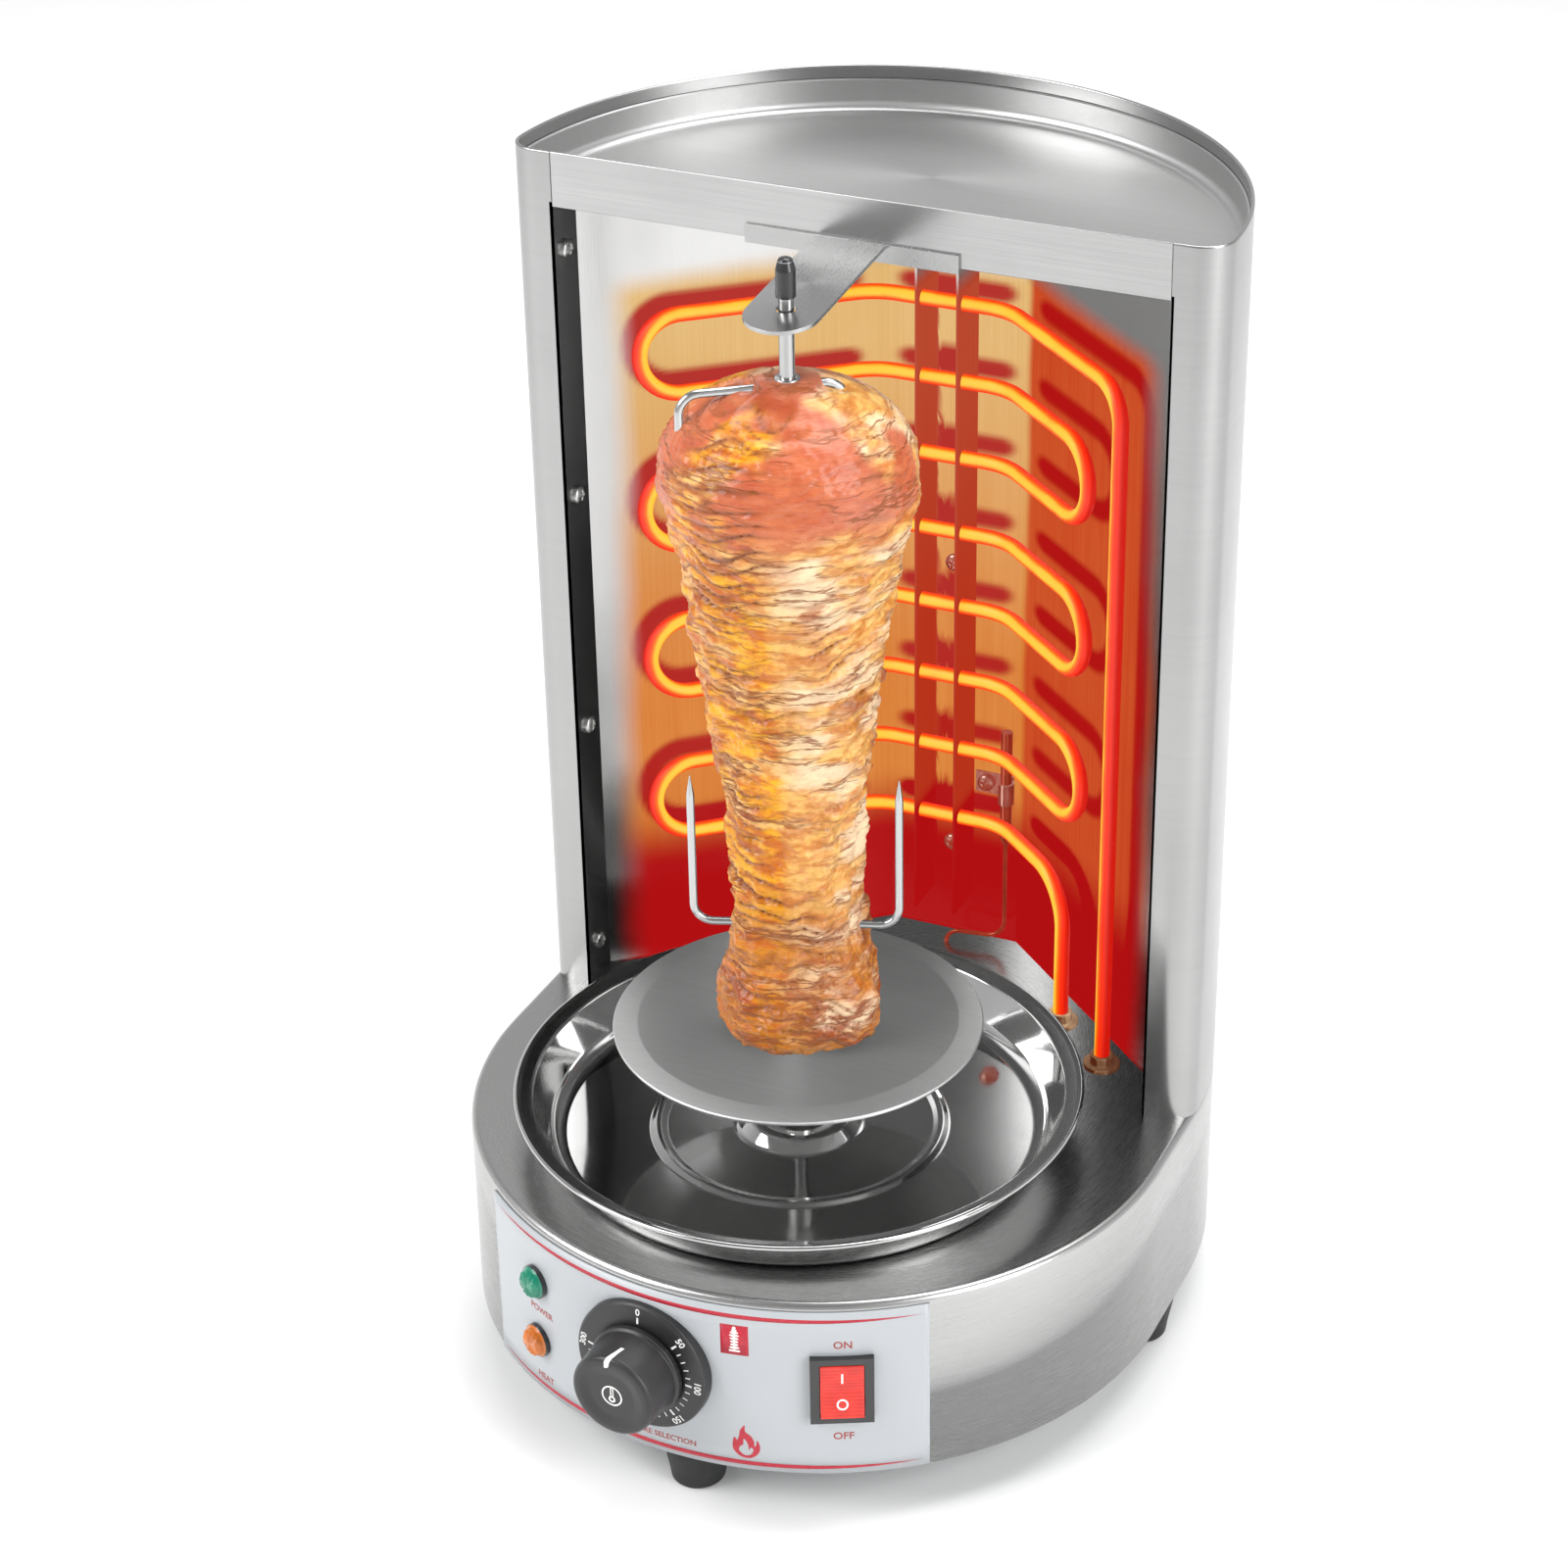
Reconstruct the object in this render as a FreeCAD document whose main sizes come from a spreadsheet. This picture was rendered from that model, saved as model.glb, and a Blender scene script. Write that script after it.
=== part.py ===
import FreeCAD, Part
import math
import os

import Sketcher
from FreeCAD import Placement, Rotation, Vector

# Vertical rotisserie oven: a drum-shaped base with a control panel, a curved shell rolled
# into two posts, an electric heating element in front of a folded reflector, and a driven
# spit that stands over a drip pan. Millimetres, +Z up, the controls face -Y, and the
# origin is on the counter at the middle of the whole outline.

doc = FreeCAD.newDocument("RotisserieOven")
sheet = doc.addObject("Spreadsheet::Sheet", "Sizes")
pieces = []


# ------------------------------------------------------------------ sizes and expressions
class Size:
    """A length or an angle, held as its value and as the sheet expression it comes from."""

    def __init__(self, value, text):
        self.value = float(value)
        self.text = text

    def __add__(self, other):
        return Size(self.value + number(other), f"({self.text} + {words(other)})")

    def __radd__(self, other):
        return Size(number(other) + self.value, f"({words(other)} + {self.text})")

    def __sub__(self, other):
        return Size(self.value - number(other), f"({self.text} - {words(other)})")

    def __rsub__(self, other):
        return Size(number(other) - self.value, f"({words(other)} - {self.text})")

    def __mul__(self, other):
        return Size(self.value * number(other), f"({self.text} * {words(other)})")

    def __rmul__(self, other):
        return self * other

    def __truediv__(self, other):
        return Size(self.value / number(other), f"({self.text} / {words(other)})")

    def __neg__(self):
        return Size(-self.value, f"(0 - {self.text})")


def number(size):
    """The plain value of a Size or of a number."""
    return size.value if isinstance(size, Size) else float(size)


def words(size):
    """The expression text of a Size or of a number."""
    return size.text if isinstance(size, Size) else repr(float(size))


def root(size):
    """The square root of a Size."""
    return Size(math.sqrt(number(size)), f"sqrt({words(size)})")


def sized(alias, value, meaning):
    """One driving dimension: a row of the sheet with its name, number and meaning."""
    row = sized.row
    sized.row += 1
    sheet.set(f"A{row}", alias)
    sheet.set(f"B{row}", str(value))
    sheet.set(f"C{row}", meaning)
    sheet.setAlias(f"B{row}", alias)
    return Size(value, f"Sizes.{alias}")


sized.row = 1

# Base
base_radius = sized("base_radius", 147.5, "half width of the base and of the shell")
front_arc_y = sized("front_arc_y", -12.0, "centre of the base's front arc")
rear_arc_y = sized("rear_arc_y", 31.5, "centre of the base's and the shell's rear arc")
spit_y = sized("spit_y", -38.6, "axis of the spit, the disc and the pan")
foot_height = sized("foot_height", 23.0, "height of a rubber foot")
base_height = sized("base_height", 81.7, "height of the base drum")
base_wall = sized("base_wall", 1.0, "sheet of the base drum")
base_edge = sized("base_edge", 3.0, "outer radius of the drum's top edge")
plate_wall = sized("plate_wall", 1.2, "sheet of the bottom plate")
plate_lip = sized("plate_lip", 12.0, "height of the bottom plate's turned-up lip")
sheet_gap = sized("sheet_gap", 0.2, "gap between sheets that nest in each other")
fit_gap = sized("fit_gap", 0.05, "radial gap of a part pushed into its hole")
foot_top_radius = sized("foot_top_radius", 14.2, "foot radius at the plate")
foot_tip_radius = sized("foot_tip_radius", 10.8, "foot radius at the counter")
foot_inset = sized("foot_inset", 18.0, "front foot axis inside the outline")
rear_foot_inset = sized("rear_foot_inset", 22.6, "rear foot axis inside the outline")
side_foot_inset = sized("side_foot_inset", 15.5, "side foot axis inside the outline")
side_foot_y = sized("side_foot_y", 16.4, "the side feet along Y")
screw_head_radius = sized("screw_head_radius", 3.8, "M4 pan head")
screw_head_height = sized("screw_head_height", 2.4, "M4 pan head")
screw_radius = sized("screw_radius", 2.0, "M4 shank")
screw_play = sized("screw_play", 0.25, "radial play round a shank")
foot_seat = sized("foot_seat", 6.0, "rubber left under the plate, above a foot screw's head")
foot_screw_length = sized("foot_screw_length", 12.0, "foot screw")
vent_width = sized("vent_width", 60.0, "air slot in the bottom plate")
vent_slot = sized("vent_slot", 4.0, "air slot in the bottom plate")
vent_pitch = sized("vent_pitch", 9.0, "air slot spacing")
vent_first_y = sized("vent_first_y", 60.0, "front edge of the first air slot")
terminal_width = sized("terminal_width", 62.0, "terminal block")
terminal_depth = sized("terminal_depth", 18.0, "terminal block")
terminal_height = sized("terminal_height", 16.0, "terminal block")
terminal_pitch = sized("terminal_pitch", 12.0, "terminal spacing")
terminal_well_radius = sized("terminal_well_radius", 2.6, "terminal screw well")
terminal_well_depth = sized("terminal_well_depth", 8.0, "terminal screw well")
terminal_x = sized("terminal_x", -60.0, "middle of the terminal block")
terminal_y = sized("terminal_y", 30.0, "front of the terminal block")

# Controls, placed round the front arc by an angle from -Y towards +X
panel_wall = sized("panel_wall", 1.0, "control panel plate")
panel_angle = sized("panel_angle", 79.8, "arc that the panel covers")
panel_turn = sized("panel_turn", -0.4, "middle of the panel")
panel_drop = sized("panel_drop", 3.2, "panel top below the base top")
panel_foot_gap = sized("panel_foot_gap", 0.6, "panel foot above the drum's lower edge")
panel_height = base_height - panel_drop - panel_foot_gap
dial_turn = sized("dial_turn", -4.9, "thermostat axis")
dial_drop = sized("dial_drop", 39.2, "thermostat axis below the base top")
dial_radius = sized("dial_radius", 29.0, "dial plate")
dial_thick = sized("dial_thick", 4.0, "dial plate at its middle")
knob_radius = sized("knob_radius", 20.5, "knob at its skirt")
knob_taper = sized("knob_taper", 2.0, "how much narrower the knob is at its face")
knob_tip_radius = knob_radius - knob_taper
knob_skirt = sized("knob_skirt", 2.5, "thickness of the knob's skirt")
knob_skirt_step = sized("knob_skirt_step", 1.0, "how far the skirt stands out")
knob_chamfer = sized("knob_chamfer", 1.5, "edge of the knob's face")
knob_socket_depth = sized("knob_socket_depth", 12.0, "shaft in the knob")
knob_length = sized("knob_length", 20.5, "knob along its axis")
moving_gap = sized("moving_gap", 0.6, "gap beside a part that moves")
knob_shaft_radius = sized("knob_shaft_radius", 3.0, "thermostat shaft")
thermostat_bush_wall = sized("thermostat_bush_wall", 1.8, "bush round the thermostat shaft")
thermostat_gap = sized("thermostat_gap", 4.0, "thermostat behind the drum's front")
thermostat_width = sized("thermostat_width", 34.0, "thermostat body")
thermostat_depth = sized("thermostat_depth", 30.0, "thermostat body")
thermostat_shaft_sink = sized("thermostat_shaft_sink", 14.0, "shaft inside the thermostat body")
running_fit = sized("running_fit", 0.05, "radial play of a running fit")
switch_turn = sized("switch_turn", 26.1, "rocker switch")
switch_drop = sized("switch_drop", 38.9, "switch middle below the base top")
switch_width = sized("switch_width", 22.0, "switch body in its cut-out")
switch_height = sized("switch_height", 28.0, "switch body in its cut-out")
bezel_lap = sized("bezel_lap", 1.5, "switch bezel past its cut-out on each side")
bezel_width = switch_width + 2 * bezel_lap
bezel_height = switch_height + 2 * bezel_lap
bezel_thick = sized("bezel_thick", 2.6, "switch bezel")
switch_depth = sized("switch_depth", 24.0, "switch body behind the panel")
switch_wall = sized("switch_wall", 2.5, "switch body round the paddle")
rocker_width = switch_width - 2 * switch_wall
rocker_height = switch_height - 2 * switch_wall
rocker_play = sized("rocker_play", 1.0, "room above and below the paddle")
rocker_crown = sized("rocker_crown", 6.0, "paddle face in front of its pivot")
rocker_rise = sized("rocker_rise", 1.5, "paddle ends in front of its middle")
rocker_sink = sized("rocker_sink", 3.0, "paddle pivot behind the panel's face")
rocker_heel = sized("rocker_heel", 4.0, "paddle behind its pivot")
rocker_heel_half = sized("rocker_heel_half", 5.0, "half the paddle's heel")
rocker_axle_radius = sized("rocker_axle_radius", 1.5, "trunnions of the paddle")
rocker_axle_reach = sized("rocker_axle_reach", 1.2, "trunnions past the paddle's sides")
switch_cavity_depth = sized("switch_cavity_depth", 16.0, "hollow of the switch body")
rocker_tilt = sized("rocker_tilt", 7.5, "rocker angle at either end of its travel")
lamp_turn = sized("lamp_turn", -27.3, "both lamps")
power_lamp_drop = sized("power_lamp_drop", 27.3, "upper lamp below the base top")
heat_lamp_drop = sized("heat_lamp_drop", 56.1, "lower lamp below the base top")
lamp_body_radius = sized("lamp_body_radius", 5.0, "lamp body in its hole")
lamp_lens_lap = sized("lamp_lens_lap", 1.0, "lens past the lamp body")
lamp_bezel_lap = sized("lamp_bezel_lap", 1.2, "bezel past the lens")
lamp_lens_radius = lamp_body_radius + lamp_lens_lap
lamp_radius = lamp_lens_radius + lamp_bezel_lap
lamp_bezel_thick = sized("lamp_bezel_thick", 2.0, "lamp bezel")
lamp_depth = sized("lamp_depth", 23.5, "lamp body behind the panel's face")
lamp_lens_step = sized("lamp_lens_step", 1.5, "height of the lens rim, and of its crown")

# Shell, tray, fascia and reflector
shell_height = sized("shell_height", 381.0, "shell above the base")
shell_wall = sized("shell_wall", 1.0, "sheet of the shell")
post_front_y = sized("post_front_y", 21.4, "front face of the posts")
post_roll = sized("post_roll", 13.0, "outer radius of a post's rolled corner")
post_width = sized("post_width", 20.0, "width of a post")
post_inner_x = base_radius - post_width
post_return = sized("post_return", 20.0, "depth of a post's inner flange")
fascia_height = sized("fascia_height", 22.4, "fascia strip")
fascia_return = sized("fascia_return", 12.0, "fascia's turned-back lower lip")
tray_depth = sized("tray_depth", 19.5, "tray floor below the rim")
tray_wall = sized("tray_wall", 0.8, "sheet of the tray")
tray_rim_drop = sized("tray_rim_drop", 1.0, "tray edge below the shell's rim")
reflector_wall = sized("reflector_wall", 0.8, "sheet of the reflector")
reflector_space = sized("reflector_space", 50.8, "shell's back behind the reflector's front face")
reflector_y = rear_arc_y + base_radius - reflector_space
tab_inset = sized("tab_inset", 3.0, "reflector tab behind the posts' front")
reflector_half = sized("reflector_half", 30.0, "half width of the back panel")
post_screw_low = sized("post_screw_low", 19.0, "lowest post screw above the base")
post_screw_head_room = sized("post_screw_head_room", 43.1, "highest post screw below the rim")
post_screw_count = 4
post_screw_pitch = (shell_height - post_screw_low - post_screw_head_room) / (post_screw_count - 1)
sheet_screw_length = sized("sheet_screw_length", 6.0, "screws of the posts and the reflector")

# Heating element and what holds it
element_radius = sized("element_radius", 3.25, "tubular element")
element_back_gap = sized("element_back_gap", 16.5, "element axis to the back panel")
element_wing_gap = sized("element_wing_gap", 13.0, "element axis to a wing")
element_rows = 8
element_head_room = sized("element_head_room", 74.5, "top row below the shell's rim")
element_low = sized("element_low", 68.5, "lowest row above the base")
element_top = shell_height - element_head_room
element_pitch = (element_top - element_low) / (element_rows - 1)
element_left_gap = sized("element_left_gap", 31.3, "left turns to the wing's outer end")
element_feed_gap = sized("element_feed_gap", 37.8, "outer leg to the wing's outer end")
element_right_gap = sized("element_right_gap", 62.3, "right turns to the wing's outer end")
element_return_gap = sized("element_return_gap", 74.8, "inner leg to the wing's outer end")
element_plan_bend = sized("element_plan_bend", 26.0, "bend between the panels")
element_feed_bend = sized("element_feed_bend", 15.0, "bend into the outer leg")
element_return_bend = sized("element_return_bend", 22.0, "bend into the inner leg")
element_tail = sized("element_tail", 24.0, "cold end below the base top")
collar_wall = sized("collar_wall", 1.7, "leg collar barrel")
collar_lap = sized("collar_lap", 4.55, "leg collar flange past the element")
collar_radius = element_radius + collar_lap
collar_thick = sized("collar_thick", 2.0, "leg collar flange")
collar_barrel_top = sized("collar_barrel_top", 6.0, "leg collar barrel above the base")
collar_barrel_tail = sized("collar_barrel_tail", 8.0, "leg collar barrel below the base top")
element_play = sized("element_play", 0.1, "radial play of the element in its collars")
channel_width = sized("channel_width", 19.0, "holder channel")
channel_depth = sized("channel_depth", 22.5, "holder channel flanges")
channel_low = sized("channel_low", 22.0, "channel foot above the base")
channel_head_room = sized("channel_head_room", 53.0, "channel top below the shell's rim")
channel_height = shell_height - channel_low - channel_head_room
channel_wall = sized("channel_wall", 1.0, "sheet of the holder channel")
row_hole_play = sized("row_hole_play", 0.15, "radial play of the rows in the channel")
holder_screw_low = sized("holder_screw_low", 24.0, "lower channel screw above the channel's foot")
holder_screw_rise = sized("holder_screw_rise", 7.5, "upper channel screw above its middle")
bulb_x = sized("bulb_x", 27.0, "sensing bulb")
bulb_radius = sized("bulb_radius", 2.5, "sensing bulb")
bulb_low = sized("bulb_low", 57.0, "bulb foot above the base")
bulb_length = sized("bulb_length", 52.0, "sensing bulb")
bulb_tip = sized("bulb_tip", 4.0, "tapered foot of the bulb")
bulb_gap = sized("bulb_gap", 6.8, "bulb axis in front of the back panel")
clip_wall = sized("clip_wall", 1.0, "sheet of the bulb clip")
clip_width = sized("clip_width", 10.0, "bulb clip")
clip_rise = sized("clip_rise", 22.0, "clip screw above the bulb's foot")
clip_reach = sized("clip_reach", 11.4, "clip screw beside the bulb")
clip_neck_width = sized("clip_neck_width", 2.0, "neck of the bulb clip")
capillary_radius = sized("capillary_radius", 0.9, "capillary tube")
capillary_x = sized("capillary_x", 1.0, "hole for the capillary tube")
capillary_gap = sized("capillary_gap", 10.7, "capillary hole in front of the back panel")

# Spit, arm, disc, forks, meat and pan
rod_radius = sized("rod_radius", 2.9, "spit rod")
rod_head_room = sized("rod_head_room", 4.2, "top of the rod below the shell's rim")
rod_top = shell_height - rod_head_room
rod_lift = sized("rod_lift", 1.0, "foot of the rod above the base")
cap_wall = sized("cap_wall", 0.9, "vinyl cap on the rod")
cap_radius = rod_radius + cap_wall
cap_crown = sized("cap_crown", 1.5, "cap above the rod's end")
cap_taper = sized("cap_taper", 1.4, "how much narrower the cap is at its tip")
cap_length = sized("cap_length", 15.5, "vinyl cap")
arm_width = sized("arm_width", 29.0, "tongue of the spit arm")
arm_wall = sized("arm_wall", 1.5, "sheet of the spit arm")
arm_strip_width = sized("arm_strip_width", 88.0, "strip of the arm on the fascia")
arm_strip_height = sized("arm_strip_height", 7.3, "strip of the arm on the fascia")
arm_drop = sized("arm_drop", 16.8, "arm bend below the shell's rim")
arm_slope = sized("arm_slope", 8.0, "how far the tongue falls to its tip")
arm_overreach = sized("arm_overreach", 18.0, "tongue past the spit axis")
arm_hole_play = sized("arm_hole_play", 1.0, "radial room for the rod in the arm")
arm_knee = sized("arm_knee", 14.0, "bend of the tongue in front of the posts")
arm_knee_drop = sized("arm_knee_drop", 1.2, "how far the tongue falls to its bend")
disc_radius = sized("disc_radius", 75.0, "disc under the meat")
disc_level = sized("disc_level", 52.3, "top of the disc above the base")
disc_wall = sized("disc_wall", 1.5, "disc")
disc_edge = sized("disc_edge", 10.0, "turned-down edge band of the disc")
disc_dip = sized("disc_dip", 1.2, "how far the disc's edge band falls")
hub_wall = sized("hub_wall", 3.1, "hub under the disc")
hub_radius = rod_radius + hub_wall
hub_height = sized("hub_height", 12.0, "hub under the disc")
fork_half = sized("fork_half", 41.0, "half the fork's width")
upper_fork_short = sized("upper_fork_short", 22.0, "upper fork's buried side, from the rod")
fork_wire_radius = sized("fork_wire_radius", 1.6, "fork wire")
fork_prong = sized("fork_prong", 66.0, "fork prong")
fork_bend = sized("fork_bend", 8.0, "fork corner")
lower_fork_level = sized("lower_fork_level", 98.5, "lower fork above the base")
upper_fork_sink = sized("upper_fork_sink", 4.8, "upper fork below the meat's top")
fork_ring_wall = sized("fork_ring_wall", 2.0, "ring of a fork round the rod")
fork_ring_height = sized("fork_ring_height", 7.0, "ring of a fork round the rod")
lower_fork_turn = sized("lower_fork_turn", 20.0, "lower fork round the rod")
upper_fork_turn = sized("upper_fork_turn", 36.0, "upper fork round the rod")
meat_head_room = sized("meat_head_room", 50.2, "meat top below the shell's rim")
meat_height = shell_height - disc_level - meat_head_room
upper_fork_level = disc_level + meat_height - upper_fork_sink
meat_radius = sized("meat_radius", 50.5, "meat at its widest")
pan_edge_gap = sized("pan_edge_gap", 4.4, "pan rim behind the base's front edge")
pan_radius = spit_y - front_arc_y + base_radius - pan_edge_gap
pan_wall_width = sized("pan_wall_width", 18.5, "plan width of the pan's sloping side and rim")
pan_floor_radius = pan_radius - pan_wall_width
pan_heel = sized("pan_heel", 4.0, "corner of the pan floor")
pan_heel_rise = sized("pan_heel_rise", 2.0, "corner of the pan floor")
pan_rim_width = sized("pan_rim_width", 4.0, "flat rim of the pan")
pan_rim_dip = sized("pan_rim_dip", 1.0, "fall of the pan's rim inwards")
pan_lean = sized("pan_lean", 0.4, "how far the pan's inner skin is drawn in")
pan_rim_level = sized("pan_rim_level", 22.8, "pan rim above the base")
pan_wall = sized("pan_wall", 0.8, "sheet of the pan")
pan_lift_gap = sized("pan_lift_gap", 0.3, "pan above the base top at rest")
pan_boss_radius = sized("pan_boss_radius", 24.0, "raised middle of the pan")
pan_boss_height = sized("pan_boss_height", 5.5, "raised middle of the pan")
pan_ring_radius = sized("pan_ring_radius", 58.0, "pressed ring in the pan floor")
pan_ring_rise = sized("pan_ring_rise", 1.2, "pressed ring in the pan floor")
pan_ring_foot = sized("pan_ring_foot", 3.0, "half the pressed ring at the floor")
pan_ring_crest = sized("pan_ring_crest", 1.0, "half the pressed ring at its crest")
coupling_wall = sized("coupling_wall", 2.1, "drive coupling round the rod")
coupling_radius = rod_radius + coupling_wall
pan_hole_play = sized("pan_hole_play", 2.5, "pan's hole round the coupling")
pan_hole_radius = coupling_radius + pan_hole_play
coupling_top = sized("coupling_top", 16.0, "coupling above the base")
coupling_tail = sized("coupling_tail", 20.0, "coupling below the base top")
bush_wall = sized("bush_wall", 2.5, "bush in the base top")
bush_radius = coupling_radius + bush_wall
bush_lap = sized("bush_lap", 3.5, "flange of the bush past its sleeve")
bush_flange = sized("bush_flange", 1.5, "flange of the bush")
bush_length = sized("bush_length", 9.0, "bush below the base top")
motor_radius = sized("motor_radius", 30.0, "gear motor can")
motor_height = sized("motor_height", 34.0, "gear motor can")
shaft_radius = sized("shaft_radius", 3.5, "motor output shaft")
bracket_width = sized("bracket_width", 84.0, "motor bracket")
bracket_depth = sized("bracket_depth", 40.0, "motor bracket")
bracket_wall = sized("bracket_wall", 1.5, "sheet of the motor bracket")
bracket_drop = sized("bracket_drop", 22.0, "bracket shelf below the base top's sheet")
bracket_ear = sized("bracket_ear", 12.0, "ear of the motor bracket")
bracket_hole_play = sized("bracket_hole_play", 2.0, "room round the coupling in the bracket")
motor_screw_x = sized("motor_screw_x", 24.0, "motor screws beside the shaft")
motor_screw_length = sized("motor_screw_length", 8.0, "motor screws")
shaft_sink = sized("shaft_sink", 10.0, "output shaft inside the motor")
shaft_reach = sized("shaft_reach", 12.0, "output shaft above the motor")
socket_floor = sized("socket_floor", 0.5, "floor of the coupling's socket above the base")
gland_radius = sized("gland_radius", 8.0, "cord gland flange")
gland_reach = sized("gland_reach", 7.4, "gland behind the base")
gland_bore = sized("gland_bore", 3.6, "cord opening")
gland_rise = sized("gland_rise", 5.7, "gland flange above the bottom plate's lip")
gland_flange_thick = sized("gland_flange_thick", 2.5, "gland flange outside the drum")
gland_neck_inset = sized("gland_neck_inset", 2.7, "gland barrel inside its flange")
gland_play = sized("gland_play", 0.2, "gland barrel in its hole")
gland_tail = sized("gland_tail", 9.0, "gland barrel inside the drum")
pierce = 6.0  # how far a cutting tool runs past each side of the sheet that it pierces

doc.recompute()
top_z = foot_height + base_height
rim_z = top_z + shell_height
panel_radius = base_radius + panel_wall
back_y = rear_arc_y + base_radius


# ------------------------------------------------------------------ building blocks
def bind(thing, **properties):
    """Set properties of a document object from Sizes, as live expressions."""
    for name, size in properties.items():
        if isinstance(size, Size):
            thing.setExpression(name, size.text)
        else:
            setattr(thing, name, size)


def place(thing, x=0, y=0, z=0, turn=0, axis=(0, 0, 1)):
    """Put an object at x, y, z, turned about an axis through its own origin."""
    thing.Placement = Placement(
        Vector(number(x), number(y), number(z)), Rotation(Vector(*axis), number(turn))
    )
    for name, size in (("x", x), ("y", y), ("z", z)):
        if isinstance(size, Size):
            thing.setExpression(f"Placement.Base.{name}", size.text)
    if isinstance(turn, Size):
        thing.setExpression("Placement.Rotation.Angle", turn.text)
    return thing


def piece(thing, name):
    """Name an object as one physical piece, to be written to its own file."""
    thing.Label = name
    pieces.append(thing)
    return thing


def cylinder(name, radius, height, **where):
    """An upright cylinder."""
    thing = doc.addObject("Part::Cylinder", name)
    bind(thing, Radius=radius, Height=height)
    return place(thing, **where)


def cone(name, low_radius, high_radius, height, **where):
    """An upright cone."""
    thing = doc.addObject("Part::Cone", name)
    bind(thing, Radius1=low_radius, Radius2=high_radius, Height=height)
    return place(thing, **where)


def block(name, wide, deep, tall, x, y, z, turn=0):
    """A box centred on x, with its near face at y and its underside at z."""
    thing = doc.addObject("Part::Box", name)
    bind(thing, Length=wide, Width=deep, Height=tall)
    return place(thing, x=x - wide / 2, y=y, z=z, turn=turn)


def cut(name, base, *tools):
    """Base with every tool taken away."""
    thing = doc.addObject("Part::Cut", name)
    thing.Base = base
    thing.Tool = tools[0] if len(tools) == 1 else group(name + "_tools", *tools)
    return thing


def fuse(name, *parts):
    """Several solids joined into one."""
    thing = doc.addObject("Part::MultiFuse", name)
    thing.Shapes = list(parts)
    thing.Refine = True
    return thing


def group(name, *parts):
    """Several solids kept apart in one object."""
    thing = doc.addObject("Part::Compound", name)
    thing.Links = list(parts)
    return thing


def new_body(name):
    return doc.addObject("PartDesign::Body", name)


def outline(body, plane, corners, level=0):
    """A closed outline on one of a body's origin planes, level above it.

    A corner is (across, up), or (across, up, centre, way) where the edge to the next corner
    is an arc about centre, anticlockwise for way 1 and clockwise for way -1.
    """
    sketch = body.newObject("Sketcher::SketchObject", f"{body.Name}_outline")
    planes = {feature.Role: feature for feature in body.Origin.OriginFeatures}
    sketch.AttachmentSupport = (planes[plane], [""])
    sketch.MapMode = "FlatFace"
    sketch.AttachmentOffset = Placement(Vector(0, 0, number(level)), Rotation())
    if isinstance(level, Size):
        sketch.setExpression("AttachmentOffset.Base.z", level.text)
    spots = [Vector(number(corner[0]), number(corner[1]), 0) for corner in corners]
    count = len(corners)
    starts = []
    ends = []
    for index, corner in enumerate(corners):
        here, there = spots[index], spots[(index + 1) % count]
        if len(corner) == 2:
            sketch.addGeometry(Part.LineSegment(here, there), False)
            starts.append(1)
            ends.append(2)
            continue
        centre = Vector(number(corner[2][0]), number(corner[2][1]), 0)
        first, last = (here, there) if corner[3] > 0 else (there, here)
        angles = [math.atan2(spot.y - centre.y, spot.x - centre.x) for spot in (first, last)]
        circle = Part.Circle(centre, Vector(0, 0, 1), (here - centre).Length)
        sketch.addGeometry(Part.ArcOfCircle(circle, angles[0], angles[1]), False)
        starts.append(1 if corner[3] > 0 else 2)
        ends.append(2 if corner[3] > 0 else 1)
    for index in range(count):
        after = (index + 1) % count
        sketch.addConstraint(
            Sketcher.Constraint("Coincident", index, ends[index], after, starts[after])
        )
    for index, corner in enumerate(corners):
        pin(sketch, index, starts[index], corner[0], corner[1])
        if len(corner) > 2:
            chord = spots[(index + 1) % count] - spots[index]
            flat = abs(chord.x) >= abs(chord.y)
            pin(sketch, index, 3, None if flat else corner[2][0], corner[2][1] if flat else None)
    return sketch


def pin(sketch, edge, spot, across, up):
    """Hold one point of a sketch at a distance across and up from its origin."""
    for kind, size, axis in (("DistanceX", across, -2), ("DistanceY", up, -1)):
        if size is None:
            continue
        if not isinstance(size, Size) and number(size) == 0:
            sketch.addConstraint(Sketcher.Constraint("PointOnObject", edge, spot, axis))
            continue
        held = Sketcher.Constraint(kind, -1, 1, edge, spot, number(size))
        place_in_list = sketch.addConstraint(held)
        if isinstance(size, Size):
            sketch.setExpression(f"Constraints[{place_in_list}]", size.text)


def pad(body, sketch, length, both_ways=False):
    """A sketch made solid by a straight push."""
    feature = body.newObject("PartDesign::Pad", f"{body.Name}_pad")
    feature.Profile = sketch
    feature.Midplane = both_ways
    bind(feature, Length=length)
    return feature


def pocket_up(body, sketch, length):
    """A hollow cut upwards from a sketch that lies flat."""
    feature = body.newObject("PartDesign::Pocket", f"{body.Name}_pocket")
    feature.Profile = sketch
    feature.Reversed = True
    bind(feature, Length=length)
    return feature


def spun(name, corners, angle=360):
    """A body of revolution about Z: its corners are (radius, height)."""
    body = new_body(name)
    sketch = outline(body, "XZ_Plane", corners)
    feature = body.newObject("PartDesign::Revolution", f"{name}_turned")
    feature.Profile = sketch
    feature.ReferenceAxis = (sketch, ["V_Axis"])
    bind(feature, Angle=angle)
    return body


def edges_at(shape, level):
    """Names of the edges that lie flat at one height."""
    names = []
    for index, edge in enumerate(shape.Edges):
        box = edge.BoundBox
        if abs(box.ZMin - level) < 1e-4 and abs(box.ZMax - level) < 1e-4:
            names.append(f"Edge{index + 1}")
    return names


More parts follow.
